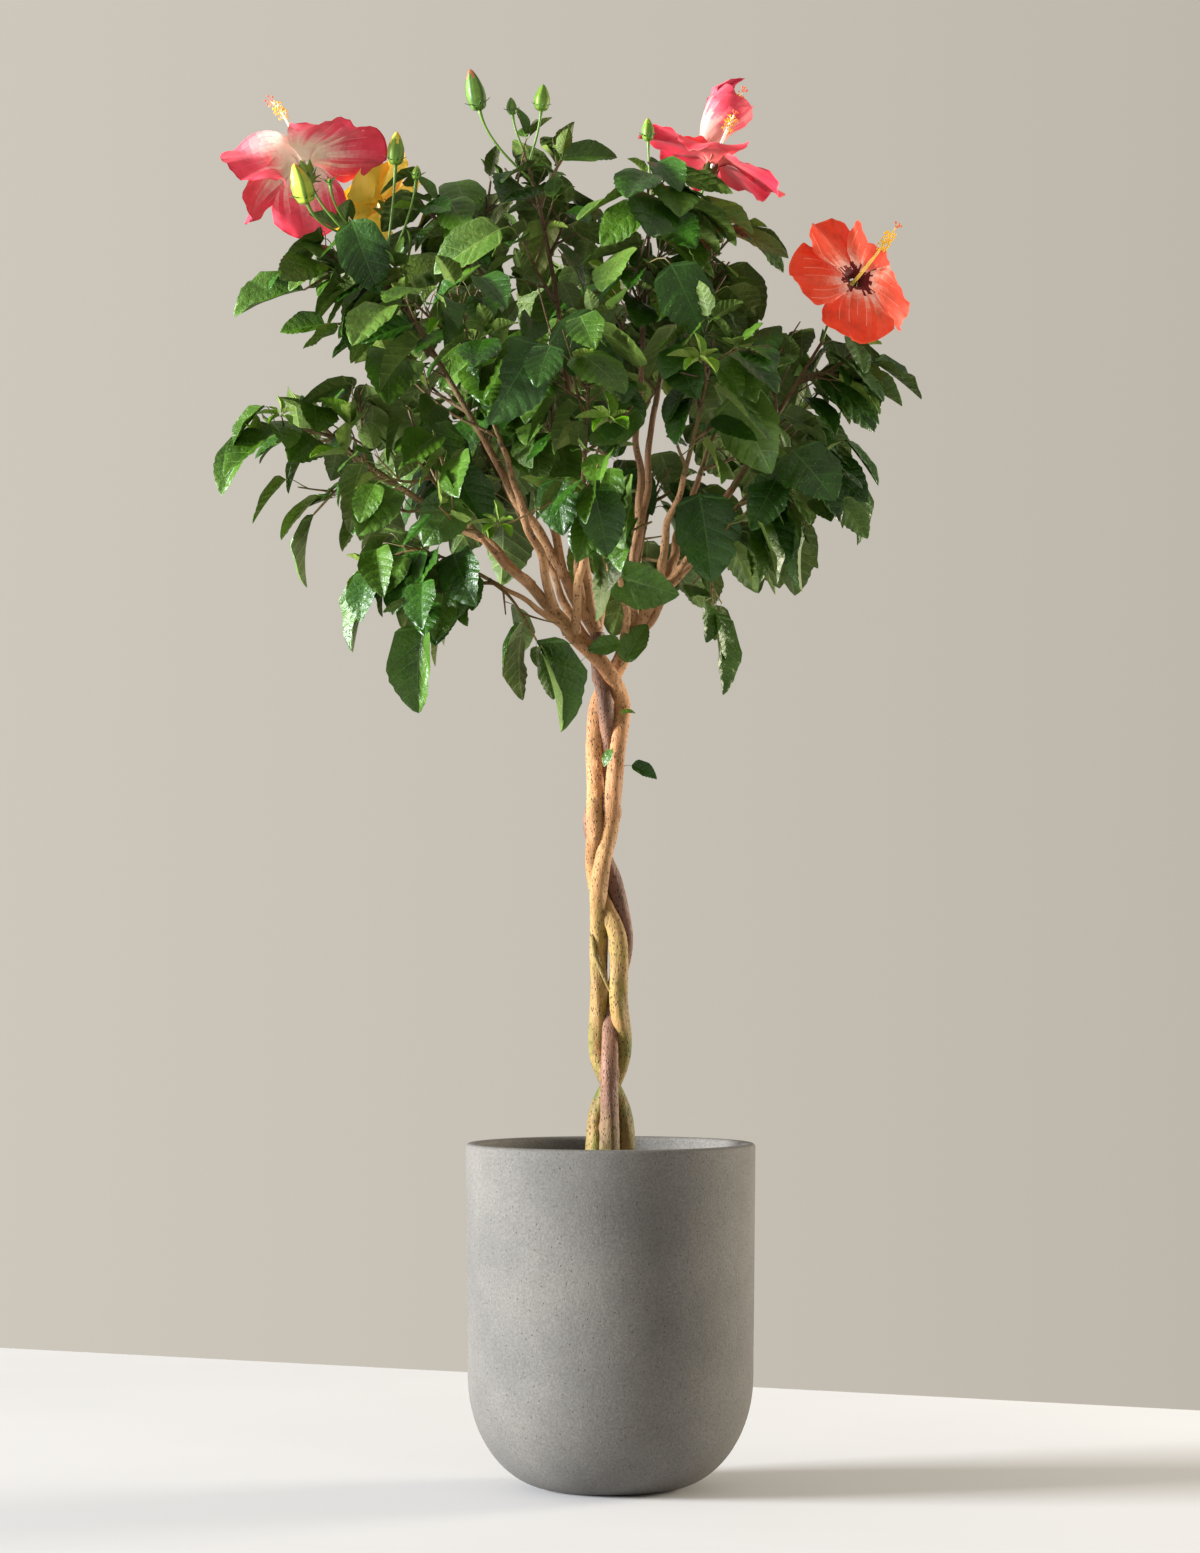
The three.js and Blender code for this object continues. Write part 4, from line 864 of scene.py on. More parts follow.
# The largest leaves that show at the front: where the blade begins, its tip, how far it is turned
# away from the viewer, and its tone. Each grows from the nearest twig.
FRONT_LEAVES = [
    ((-15, -118, 1029), (-16, -132, 949), 10, "dark"), ((90, -76, 1022), (108, -92, 932), -14, "dark"),
    ((0, -50, 941), (70, -62, 918), 16, "mid"), ((-71, -185, 1162), (-126, -200, 1082), 8, "dark"),
    ((-51, -190, 1183), (13, -203, 1121), -12, "dark"), ((124, -146, 1116), (158, -160, 1033), 24, "light"),
    ((-177, -76, 934), (-174, -88, 871), -8, "dark"), ((-265, -86, 1301), (-239, -98, 1225), 6, "dark"),
    ((-112, -116, 1287), (-183, -126, 1246), 14, "light"), ((60, -160, 1245), (98, -172, 1170), -10, "dark"),
    ((-150, -110, 1020), (-190, -122, 965), 0, "mid"), ((30, -170, 1100), (-22, -182, 1062), 20, "mid"),
]
VIEWER = vector(0, -1, 0)
TWIG_SHARES = (0.2, 0.4, 0.6, 0.8)


def nearest_twig(point):
    """The mass, and the place on one of its twigs, that lie nearest to a point."""
    return min(
        ((limb, place_on(twig.points, share)[0])
         for limb in LIMBS for twig in limb.twigs for share in TWIG_SHARES),
        key=lambda pair: length_of(pair[1] - point))


def front_leaf(base, tip, away, tone):
    """The leaf of one of those rows, and the limb that bears it."""
    base = vector(*base)
    ahead = vector(*tip) - base
    length = float(length_of(ahead))
    ahead = unit(ahead)
    level = unit(UP - ahead * (UP @ ahead))
    facing = unit(VIEWER - ahead * (VIEWER @ ahead))
    roll = math.degrees(math.atan2(cross(level, facing) @ ahead, level @ facing))
    limb, root = nearest_twig(base)
    leaf = leaf_shape(root, base, ahead, roll + away, length)
    leaf.tone = tone
    return limb, leaf


# Each mass as the solids have it, less the leaves that lie over an opening, then the front leaves in
# place of those they cross, then the finer growth.
for index, limb in enumerate(LIMBS):
    limb.twigs, limb.leaves = grow_mass(limb, index)
    limb.leaves = [
        leaf for leaf in limb.leaves
        if hasattr(leaf, "tone") or not covers_opening(leaf, CLEAR_SHARE.large)]
for row in FRONT_LEAVES:
    limb, leaf = front_leaf(*row)
    limb.leaves = [other for other in limb.leaves if not blades_cross(leaf, [other])] + [leaf]
for index, limb in enumerate(LIMBS):
    refine(limb, index)

# Tufts of the youngest leaves at the front: the tuft's middle and its largest leaf's length.
TUFTS = [((-112, -225, 976), 27), ((-1, -235, 1078), 33), ((88, -228, 1139), 31), ((-338, -64, 1103), 23)]
TUFT = SimpleNamespace(
    leaves=6, axis=unit(vector(-0.15, -0.85, 0.5)), opening=0.4, stalk=3, smallest=0.5, lead=12, bent=0.3,
    steps=5,
)


def add_tuft(middle, longest):
    """Adds a tuft and its sprig to the nearest mass, in place of the leaves that it crosses."""
    limb, root = nearest_twig(middle)
    early = mix(root, middle, TUFT.bent)
    late = middle - TUFT.axis * TUFT.lead
    points = bezier(root, early, late, middle, np.linspace(0, 1, TUFT.steps))
    limb.sprigs.append(new_twig(points, FINE.radius, TUFT.leaves))
    leaves = []
    for k in range(TUFT.leaves):
        ahead = unit(square(TUFT.axis, GOLDEN_ANGLE * k) + TUFT.axis * TUFT.opening * (1 + k / TUFT.leaves))
        length = longest * mix(1, TUFT.smallest, k / TUFT.leaves)
        leaf = leaf_shape(middle - TUFT.axis * TUFT.stalk, middle + ahead * TUFT.stalk, ahead, 0, length)
        leaf.tone = "young"
        leaves.append(leaf)
    limb.leaves = [other for other in limb.leaves if not blades_cross(other, leaves)] + leaves


for middle, longest in TUFTS:
    add_tuft(vector(*middle), longest)

# Meshes: grids of points, and piles of such grids that become one mesh.


def index_grid(rows, columns, start_point=False, end_point=False, wrap=False):
    """Indices of a grid's points, where the first or last row may be a single point."""
    grid = np.arange(rows * columns).reshape(rows, columns)
    if start_point:
        grid = np.maximum(grid - columns + 1, 0)
        grid[0] = 0
    if end_point:
        grid[-1] = grid[-1, 0]
    if wrap:
        grid = np.concatenate([grid, grid[:, :1]], axis=1)
    return grid


def grid_faces(grid):
    """Faces of four corners, where a face of three repeats its last one."""
    a, b, c, d = grid[:-1, :-1], grid[:-1, 1:], grid[1:, 1:], grid[1:, :-1]
    faces = np.stack([a, b, c, d], axis=-1).reshape(-1, 4)
    pointed = faces[:, 0] == faces[:, 1]
    faces[pointed] = faces[pointed][:, [1, 2, 3, 3]]
    return faces


def grid_points(points, start_point=False, end_point=False):
    """The points that index_grid counts, from an array of rows by columns."""
    parts = [points[0, :1] if start_point else points[0], points[1:-1].reshape(-1, 3)]
    parts.append(points[-1, :1] if end_point else points[-1])
    return np.concatenate(parts)


class Pile:
    """Points and faces that become one mesh, each face with the number of its material."""

    def __init__(self):
        self.points = []
        self.faces = []
        self.slots = []
        self.count = 0

    def grid(self, points, slots=0, wrap=False, start_point=False, end_point=False, flip=False):
        rows, columns = points.shape[:2]
        faces = grid_faces(index_grid(rows, columns, start_point, end_point, wrap))
        if flip:
            faces = np.where(faces[:, 2:3] == faces[:, 3:4], faces[:, [0, 2, 1, 1]], faces[:, [0, 3, 2, 1]])
        self.points.append(grid_points(points, start_point, end_point))
        self.faces.append(faces + self.count)
        self.slots.append(np.broadcast_to(slots, len(faces)))
        self.count += len(self.points[-1])

    def piece(self, name, slot, materials, *nodes):
        """Makes the mesh, in metres, which rides on the root and replaces the named nodes."""
        points = np.concatenate(self.points) * MM
        faces = np.concatenate(self.faces)
        sizes = np.where(faces[:, 2] == faces[:, 3], 3, 4)
        corners = faces.ravel()[(np.arange(4) < sizes[:, None]).ravel()]
        mesh = bpy.data.meshes.new(name)
        mesh.vertices.add(len(points))
        mesh.vertices.foreach_set("co", points.astype(np.float32).ravel())
        mesh.loops.add(len(corners))
        mesh.loops.foreach_set("vertex_index", corners.astype(np.int32))
        mesh.polygons.add(len(faces))
        mesh.polygons.foreach_set("loop_start", (np.cumsum(sizes) - sizes).astype(np.int32))
        for material in materials:
            mesh.materials.append(material)
        mesh.polygons.foreach_set("material_index", np.concatenate(self.slots).astype(np.int32))
        mesh.polygons.foreach_set("use_smooth", np.ones(len(faces), dtype=bool))
        mesh.update(calc_edges=True)
        made = bpy.data.objects.new(name, mesh)
        bpy.context.collection.objects.link(made)
        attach(made, "root")
        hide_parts(*nodes)


def even_angles(count):
    return 2 * math.pi * np.arange(count) / count


def round_axis(axis, angles, first=None):
    """Unit vectors square to an axis, at angles round it from a first one."""
    first = square(axis, 0) if first is None else first
    return first * np.cos(angles)[..., None] + cross(axis, first) * np.sin(angles)[..., None]


def tube_rings(points, radii, sides):
    """Rings round a run of points, carried along it without twist."""
    along = np.gradient(points, axis=0)
    along /= length_of(along)[:, None]
    angles = even_angles(sides)
    side = square(along[0], 0)
    rings = []
    for point, heading, radius in zip(points, along, radii):
        side = unit(side - heading * (side @ heading))
        rings.append(point + round_axis(heading, angles, side) * np.reshape(radius, (-1, 1)))
    return np.array(rings)


DOME = 0.4


def add_tube(pile, points, radii, sides, slots=0):
    """A tube with both ends closed by a low dome."""
    rings = tube_rings(points, radii, sides)
    first = points[:1] - unit(points[1] - points[0]) * np.mean(radii[0]) * DOME
    last = points[-1:] + unit(points[-1] - points[-2]) * np.mean(radii[-1]) * DOME
    rows = [np.repeat(first, sides, axis=0)[None], rings, np.repeat(last, sides, axis=0)[None]]
    pile.grid(np.concatenate(rows), slots, wrap=True, start_point=True, end_point=True)


# Parts of materials, as nodes of a shader tree.


def srgb(red, green, blue):
    """A colour as a screen shows it, from 0 to 255, as linear numbers."""
    parts = [(c / 255 + 0.055) / 1.055 for c in (red, green, blue)]
    return (*[part ** 2.4 for part in parts], 1)


def add_node(tree, kind, inputs=(), **settings):
    """A node with its inputs, by name or number, linked to a socket or set to a value."""
    made = tree.nodes.new(kind)
    for key, value in settings.items():
        setattr(made, key, value)
    for key, value in dict(inputs).items():
        if isinstance(value, bpy.types.NodeSocket):
            tree.links.new(value, made.inputs[key])
        else:
            made.inputs[key].default_value = value
    return made


def arithmetic(tree, kind, one, other, **settings):
    return add_node(tree, "ShaderNodeMath", {0: one, 1: other}, operation=kind, **settings).outputs[0]


def rescaled(tree, value, low, high, to_low=0.0, to_high=1.0):
    """A value that runs from one end to the other while the given value goes from low to high."""
    return add_node(tree, "ShaderNodeMapRange", {
        "Value": value, "From Min": low, "From Max": high, "To Min": to_low, "To Max": to_high,
    }).outputs[0]


def stretched(tree, coords, stretch):
    return add_node(tree, "ShaderNodeMapping", {"Vector": coords, "Scale": stretch}).outputs[0]


def new_material(name, roughness, specular=0.5):
    material = bpy.data.materials.new(name)
    material.use_nodes = True
    tree = material.node_tree
    shader = tree.nodes["Principled BSDF"]
    shader.inputs["Roughness"].default_value = roughness
    shader.inputs["Specular IOR Level"].default_value = specular
    coords = add_node(tree, "ShaderNodeTexCoord").outputs["Object"]
    return material, tree, shader, coords


def noise(tree, coords, scale, detail=3, roughness=0.55, stretch=(1, 1, 1)):
    return add_node(tree, "ShaderNodeTexNoise", {
        "Vector": stretched(tree, coords, stretch), "Scale": scale, "Detail": detail,
        "Roughness": roughness,
    }).outputs[0]


def dots(tree, coords, scale, low, high, stretch=(1, 1, 1)):
    """One inside scattered dots and nought outside, with an edge from high to low distance."""
    cells = add_node(tree, "ShaderNodeTexVoronoi", {
        "Vector": stretched(tree, coords, stretch), "Scale": scale})
    return rescaled(tree, cells.outputs["Distance"], high, low)


def ramp(tree, factor, *stops):
    """Colours along a factor, given as pairs of place and colour."""
    made = add_node(tree, "ShaderNodeValToRGB", {"Fac": factor})
    elements = made.color_ramp.elements
    elements[0].position, elements[0].color = stops[0]
    elements[1].position, elements[1].color = stops[-1]
    for place, colour in stops[1:-1]:
        elements.new(place).color = colour
    return made.outputs[0]


def blend(tree, factor, one, other, kind="MIX"):
    """Two colours blended by a factor. The numbers are those of the node's colour sockets."""
    made = add_node(tree, "ShaderNodeMix", {0: factor, 6: one, 7: other}, data_type="RGBA", blend_type=kind)
    return made.outputs[2]


def bump(tree, shader, height, distance, strength):
    made = add_node(tree, "ShaderNodeBump", {
        "Height": height, "Distance": distance, "Strength": strength})
    tree.links.new(made.outputs[0], shader.inputs["Normal"])


def spread_noise(tree, value, low, high):
    """Noise, which keeps near its middle, widened to run from low to high."""
    return rescaled(tree, value, 0.3, 0.7, low, high)


def grained(tree, amount, colour, grain, dark, dark_at=0.3, full_at=0.7):
    """A colour made darker where the grain is low, down to a share of grey tones."""
    shade = ramp(tree, grain, (dark_at, srgb(*dark)), (full_at, (1, 1, 1, 1)))
    return blend(tree, amount, colour, shade, "MULTIPLY")


def leaf_material(name, deep, fresh, roughness, specks):
    """Leaf green that drifts from leaf to leaf, with fine pale specks and a satin gloss."""
    material, tree, shader, coords = new_material(name, roughness, specular=0.46)
    drift = noise(tree, coords, scale=17, detail=2)
    colour = ramp(tree, drift, (0.34, srgb(*deep)), (0.66, srgb(*fresh)))
    fine = noise(tree, coords, scale=260, detail=4)
    colour = grained(tree, 0.35, colour, fine, dark=(150, 150, 150))
    pale = dots(tree, coords, scale=210, low=0.06, high=0.13)
    colour = blend(tree, arithmetic(tree, "MULTIPLY", pale, specks), colour, srgb(176, 186, 140))
    tree.links.new(colour, shader.inputs["Base Color"])
    gloss = spread_noise(tree, drift, roughness - 0.08, roughness + 0.12)
    tree.links.new(gloss, shader.inputs["Roughness"])
    pucker = noise(tree, coords, scale=130, roughness=0.5)
    bump(tree, shader, arithmetic(tree, "ADD", pucker, fine), distance=0.0011, strength=0.75)
    return material


def plain_leaf(name, colour, roughness):
    """One green with a fine grain, for veins, stalks and the flowers' green parts."""
    material, tree, shader, coords = new_material(name, roughness)
    fine = noise(tree, coords, scale=120)
    colour = grained(tree, 0.4, srgb(*colour), fine, dark=(160, 160, 160))
    tree.links.new(colour, shader.inputs["Base Color"])
    bump(tree, shader, fine, distance=0.0003, strength=0.4)
    return material


LEAF_MATERIALS = [
    leaf_material("leaf_dark", (26, 63, 6), (52, 98, 14), 0.34, 0.5),
    leaf_material("leaf_mid", (50, 86, 10), (80, 120, 22), 0.38, 0.5),
    leaf_material("leaf_light", (66, 102, 24), (98, 132, 42), 0.5, 0.35),
    leaf_material("leaf_young", (88, 142, 10), (126, 172, 30), 0.36, 0.2),
    # The undersides are paler than the tops. This is partly the underside's own colour and partly painted
    # light, lightened as if light shone through the blade.
    leaf_material("leaf_under", (70, 94, 26), (96, 118, 40), 0.58, 0.25),
    leaf_material("leaf_under_pale", (98, 122, 36), (124, 146, 54), 0.58, 0.2),
    plain_leaf("leaf_vein", (64, 108, 36), 0.4),
    plain_leaf("leaf_vein_pale", (116, 140, 58), 0.5),
    plain_leaf("leaf_vein_mid", (90, 126, 48), 0.42),
]
# Each tone's materials by number: above, below with its painted light shining through the blade, and along
# the veins above and below.
TONE_SLOTS = {
    "hanging": (1, 4, 8, 7), "dark": (0, 4, 6, 7), "mid": (1, 4, 8, 7), "light": (2, 5, 7, 7),
    "young": (3, 5, 7, 7),
}

# Leaf blades: veined, toothed and puckered sheets, with lengths as shares of the leaf's own.

BLADE = SimpleNamespace(
    veins=5, start=0.012, first=0.03, spacing=0.172, last=0.93, strip=0.005, shear=0.4, half=0.39,
    broad=0.716, round=0.66, taper=0.14, midrib=0.013, rib_share=0.5, rib_end=0.3, tooth=0.075,
    tooth_out=0.35, tooth_in=-0.65, quilt=0.03, sink=0.01, thick=0.0045, vein_depth=0.4,
)
# Places across half a blade, from just beside the midrib to the margin.
BLADE_COLUMNS = [0.001, 0.36, 0.7, 1]
BESIDE_RIB = 0.01


def blade_rows():
    """Rows across the blade as places on the midrib, and whether each row is along a vein."""
    rows = [(0, False), (BLADE.start, False)]
    for k in range(BLADE.veins):
        place = BLADE.first + BLADE.spacing * k
        rows += [(place - BLADE.strip, True), (place + BLADE.strip, True)]
        rows.append((place + BLADE.spacing * 0.5, False))
    rows += [(BLADE.last, False), (1, False)]
    places, veined = zip(*rows)
    return np.array(places), np.array(veined)


def grows(share, pace):
    """Nought at a share of nought, growing at a pace until it is one."""
    return np.clip(share * pace, 0, 1)


def blade_template(lower):
    """A flat leaf of length one: its points across, along and above, and whether faces are veins."""
    places, veined = blade_rows()
    on_vein = veined[:, None]
    u = places[:, None]
    c = np.concatenate([-np.array(BLADE_COLUMNS)[::-1], BLADE_COLUMNS])[None]
    out = np.abs(c)
    along = u + BLADE.shear * out * (1 - u) * grows(u, 8)
    width = BLADE.half * np.sin(math.pi * np.clip(along, 0, 1) ** BLADE.broad) ** BLADE.round
    width = width * (1 - BLADE.taper * along ** 5)
    notch = np.where(on_vein, BLADE.tooth_out, BLADE.tooth_in) * BLADE.tooth * grows(u, 3)
    width = width * (1 + notch * (out == 1))
    rib = np.minimum(mix(BLADE.midrib, BLADE.rib_end * BLADE.midrib, u), width * BLADE.rib_share)
    beside = out < BESIDE_RIB
    across = np.sign(c) * mix(rib, width, np.where(beside, 0, out))
    rise = np.where(on_vein, -BLADE.sink, BLADE.quilt * (1 - (2 * out - 1) ** 2))
    rise = np.where(beside, 0, rise) * grows(u, 6) * grows(1 - u, 6)
    if lower:
        rise = rise - BLADE.thick * (1 - out ** 4) - np.where(on_vein, BLADE.vein_depth * BLADE.thick, 0)
    points = np.stack([across, along, rise], axis=-1)
    strip = veined[:-1] & veined[1:]
    veins = np.zeros((len(places) - 1, c.shape[1] - 1), dtype=bool) | strip[:, None]
    veins[:, c.shape[1] // 2 - 1] = True
    return points, veins.ravel()


UPPER = blade_template(lower=False)
LOWER = blade_template(lower=True)


def leaf_points(template, leaf, curl):
    """A template's points folded on the midrib, bent along it and waved at its margin."""
    across, along, rise = np.moveaxis(template, -1, 0)
    across = across * curl.slim
    out = np.abs(across) / BLADE.half
    wave = curl.wave * out ** 2 * np.sin(2 * math.pi * curl.waves * along + curl.phase * np.sign(across))
    rise = rise + wave + curl.edge * out ** 2 + np.abs(across) * math.sin(curl.fold)
    across = across * math.cos(curl.fold)
    across, rise = (
        across * np.cos(curl.twist * along) - rise * np.sin(curl.twist * along),
        across * np.sin(curl.twist * along) + rise * np.cos(curl.twist * along),
    )
    bend = curl.bend
    reach = np.sin(bend * along) / bend + rise * np.sin(bend * along)
    rise = rise * np.cos(bend * along) - (1 - np.cos(bend * along)) / bend
    local = across[..., None] * leaf.side + reach[..., None] * leaf.ahead + rise[..., None] * leaf.top
    return leaf.base + local * leaf.length


# How leaves differ: the least and most of each way in which a blade curls, in the order drawn.
CURL = {
    "fold": (0.08, 0.5), "bend": (0.12, 0.62), "wave": (0.012, 0.05), "waves": (1.4, 2.6),
    "phase": (0, 2 * math.pi), "edge": (-0.07, 0.05), "twist": (-0.4, 0.4), "slim": (0.8, 1.05),
}
FOLDED = (0.5, 0.95)
STALK = SimpleNamespace(
    full_leaf=80, sides=5, into_blade=1.5, bow=0.25, girths=np.array([1.25, 0.95, 0.8, 0.8, 0.9, 0.5]))


def add_leaf(pile, stalks, leaf, random):
    """A leaf's two faces in one pile and its stalk in another."""
    curl = SimpleNamespace(**{way: mix(*ends, random()) for way, ends in CURL.items()})
    if leaf.tone in ("young", "hanging"):
        curl.fold = mix(*FOLDED, random())
    upper, lower, upper_vein, lower_vein = TONE_SLOTS[leaf.tone]
    for (points, veins), face, vein, flip in (
            (UPPER, upper, upper_vein, True), (LOWER, lower, lower_vein, False)):
        pile.grid(leaf_points(points, leaf, curl), np.where(veins, vein, face),
                  start_point=True, end_point=True, flip=flip)
    bow = leaf.base - leaf.root
    late = leaf.base - leaf.ahead * length_of(bow) * STALK.bow
    end = leaf.base + leaf.ahead * STALK.into_blade
    shares = np.linspace(0, 1, len(STALK.girths))
    run = bezier(leaf.root - unit(bow), leaf.root + bow * 0.5, late, end, shares)
    size = min(leaf.length / STALK.full_leaf, 1) * LEAF.stalk_radius
    add_tube(stalks, run, size * STALK.girths, STALK.sides, 2 if leaf.tone == "dark" else 1)


# Bark and twigs.


def bark_material(name, pale, deep, dot, moss=None):
    """Smooth bark with dark pores, with moss from none to full between two heights, or turning darker and
    browner higher up.
    """
    material, tree, shader, coords = new_material(name, roughness=0.62, specular=0.4)
    drift = noise(tree, coords, scale=30, detail=6, roughness=0.65, stretch=(1, 1, 0.35))
    colour = ramp(tree, drift, (0.34, srgb(*deep)), (0.64, srgb(*pale)))
    height = add_node(tree, "ShaderNodeSeparateXYZ", {0: coords}).outputs[2]
    patch = noise(tree, coords, scale=55, detail=4, stretch=(1, 1, 0.5))
    if moss:
        patchy = spread_noise(tree, patch, 0.3, 1.25)
        amount = arithmetic(tree, "MULTIPLY", rescaled(tree, height, *moss), patchy, use_clamp=True)
        tints = (64, 76, 12), (116, 120, 36)
    else:
        amount = rescaled(tree, height, *DARKER_ABOVE)
        tints = (62, 44, 32), (104, 78, 56)
    over = ramp(tree, drift, (0.35, srgb(*tints[0])), (0.65, srgb(*tints[1])))
    colour = blend(tree, amount, colour, over)
    pores = dots(tree, coords, scale=330, low=0.12, high=0.3, stretch=(1, 1, 0.62))
    scars = dots(tree, coords, scale=75, low=0.1, high=0.26)
    for marks, depth in ((pores, 0.62), (scars, 0.5)):
        colour = blend(tree, arithmetic(tree, "MULTIPLY", marks, depth), colour, srgb(*dot))
    tree.links.new(colour, shader.inputs["Base Color"])
    tree.links.new(spread_noise(tree, patch, 0.5, 0.75), shader.inputs["Roughness"])
    grain = noise(tree, coords, scale=300, detail=5, roughness=0.65, stretch=(1, 1, 0.3))
    bump(tree, shader, arithmetic(tree, "SUBTRACT", grain, pores), distance=0.0015, strength=0.9)
    return material


# The heights in metres between which bark turns darker and browner, and how far it has turned at both.
DARKER_ABOVE = (0.98, 1.14, 0.0, 0.7)
TAN_BARK = bark_material("bark_tan", (190, 138, 90), (152, 102, 60), (78, 50, 28), (0.74, 0.4))
DARK_BARK = bark_material("bark_purple_brown", (136, 96, 72), (94, 64, 50), (46, 30, 24), (0.4, 0.3))
BOUGH_BARK = bark_material("bark_bough", (200, 154, 108), (154, 110, 74), (78, 52, 34))
TWIG_BARK = bark_material("bark_twig", (134, 116, 62), (108, 82, 46), (66, 50, 28))
STALK_GREEN = plain_leaf("stalk_green", (122, 140, 60), 0.45)
STALK_BROWN = plain_leaf("stalk_brown", (104, 92, 48), 0.5)

STEM_ROWS = 420
STEM_SIDES = 40
STEM_SWELL = 1.08
STEM_KNOTS = 11
# Depths as shares of the radius, and lengths in millimetres.
RELIEF = SimpleNamespace(
    hollows=7, hollow=0.018, rings=40, ring=0.03, apart=(22, 52), ring_width=1.1, ring_lean=1.2,
    knot_tall=5.5, knot_wide=3.6, knot=0.24, eye=0.14, eye_share=0.35, rough=0.008,
)
ANY_PHASE = 6.3


def relief_of(points, sides, seed, radius, knots):
    """Bark relief as lengths added to the radius: hollows along the grain, rings and knots."""
    draw = np.random.default_rng(seed)
    along = np.concatenate([[0], np.cumsum(length_of(points[1:] - points[:-1]))])[:, None]
    angle = even_angles(sides)[None]
    relief = np.zeros((len(points), sides))
    for _ in range(RELIEF.hollows):
        waves = draw.integers(1, 5)
        pace = draw.uniform(0.01, 0.06)
        phase = draw.uniform(0, ANY_PHASE)
        relief += radius * RELIEF.hollow * np.sin(waves * angle + pace * along * 2 + phase)
    for place in np.cumsum(draw.uniform(*RELIEF.apart, RELIEF.rings)):
        off = along - place - RELIEF.ring_lean * np.sin(angle + place)
        relief += radius * RELIEF.ring * np.exp(-((off / RELIEF.ring_width) ** 2))
    for _ in range(knots):
        place = draw.uniform(0, along[-1, 0])
        turn = draw.uniform(0, 2 * math.pi)
        off = (angle - turn + math.pi) % (2 * math.pi) - math.pi
        far = np.sqrt(((along - place) / RELIEF.knot_tall) ** 2 + (off * radius / RELIEF.knot_wide) ** 2)
        eye = RELIEF.eye * np.exp(-((far / RELIEF.eye_share) ** 2))
        relief += radius * (RELIEF.knot * np.exp(-far ** 2) - eye)
    return relief + draw.normal(0, radius * RELIEF.rough, relief.shape)


def stem_piece(name, slot, material, seed):
    """One stem of the braid, with its flare at the foot and its bark."""
    radius = STEMS[name][0]
    points = stem_points(name, STEM_ROWS)
    points[0, 2] -= SOIL.sink
    share = np.linspace(0, 1, len(points))
    flare = FLARE.share * np.exp((SOIL.top - points[:, 2]) / FLARE.height)
    radii = radius * STEM_SWELL * (1 + flare - STEM_THINNING * share)
    radii = radii[:, None] + relief_of(points, STEM_SIDES, seed, radius, STEM_KNOTS)
    pile = Pile()
    add_tube(pile, points, radii, STEM_SIDES)
    pile.piece(name.replace("stem", "trunk"), slot, [material], name)


stem_piece("stem_left", "bark", TAN_BARK, 1)
stem_piece("stem_right", "bark", TAN_BARK, 2)
stem_piece("stem_dark", "bark_dark", DARK_BARK, 3)

# Boughs. They sway by pairs of pace and size, and swell where they leave their parent.
SWAY = [(0.04, 3.6), (0.1, 1.6)]
BOUGH = SimpleNamespace(rows=70, sides=18, thinning=0.8, collar=0.16, collar_pace=30, knots=3)


def swayed(points, seed):
    """The same run between the same two ends, swaying a little from node to node."""
    draw = np.random.default_rng(seed)
    along = np.linspace(0, length_of(points[-1] - points[0]), len(points))
    ahead = unit(points[-1] - points[0])
    for pace, size in SWAY:
        for side in (square(ahead, 0), square(ahead, 90)):
            wave = size * np.sin(pace * along + draw.uniform(0, ANY_PHASE))
            points = points + side * (wave * np.sin(np.linspace(0, math.pi, len(points))))[:, None]
    return points


boughs = Pile()
for limb in LIMBS:
    points = swayed(sampled(limb.path, 0, limb.bare, BOUGH.rows), limb.seed)
    share = np.linspace(0, 1, len(points))
    radii = mix(limb.girth, limb.tip_radius, share ** BOUGH.thinning)
    radii = radii * (1 + BOUGH.collar * np.exp(-share * BOUGH.collar_pace))
    relief = relief_of(points, BOUGH.sides, limb.seed, limb.girth, BOUGH.knots)
    add_tube(boughs, points, radii[:, None] + relief, BOUGH.sides)
boughs.piece("boughs", "bark", [BOUGH_BARK], *[f"bough_{limb.name}" for limb in LIMBS])

# Foliage, in five pieces by where the masses are.
LEAF_GROUPS = {
    "left": ["left_outer", "left_low", "left_inner", "upper_left"],
    "right": ["right", "right_mid", "right_low"],
    "top": ["top", "upper_right", "upper_mid", "upper_front", "middle"],
    "front": ["front", "front_left", "front_right", "front_low"],
    "back": ["back", "back_left", "back_right", "back_low"],
}
# Small leaves on the trunk and at the fork: a stem and a height on it, where the blade begins, its
# tip, its roll and its tone.
SHOOTS = [
    ("stem_left", 866, (10, -30, 872), (-24, -36, 866), -70, "mid"),
    ("stem_right", 858, (15, -16, 852), (35, -14, 896), 60, "light"),
    ("stem_left", 862, (-31, -24, 852), (-41, -28, 828), -40, "mid"),
    ("stem_right", 799, (11, -14, 798), (25, -16, 803), 30, "young"),
    ("stem_left", 768, (1, -22, 762), (-9, -26, 745), -20, "mid"),
    ("stem_right", 752, (22, -10, 746), (49, -12, 733), 50, "dark"),
    ("stem_left", 874, (-66, -48, 862), (-56, -52, 812), 50, "light"),
]


def shoot_leaf(stem, height, base, tip, roll, tone):
    """A leaf of one of those rows, with its stalk from the stem's middle at that height."""
    share = np.interp(height, runs[stem][:, 2], np.linspace(0, 1, STEM_STEPS + 1))
    leaf = leaf_between(place_on(runs[stem], share)[0], vector(*base), tip, roll)
    leaf.tone = tone
    return leaf


CURL_SEED = 900
masses = {limb.name: limb for limb in LIMBS}
masses["shoots"] = SimpleNamespace(seed=7, leaves=[shoot_leaf(*row) for row in SHOOTS])
stalks = Pile()
for group, names in LEAF_GROUPS.items():
    pile = Pile()
    for name in names + ["shoots"] * (group == "front"):
        limb = masses[name]
        random = seeded(limb.seed + CURL_SEED)
        for leaf in limb.leaves:
            add_leaf(pile, stalks, leaf, random)
    pile.piece(f"foliage_{group}", "leaf", LEAF_MATERIALS, *[f"leaves_{name}" for name in names])


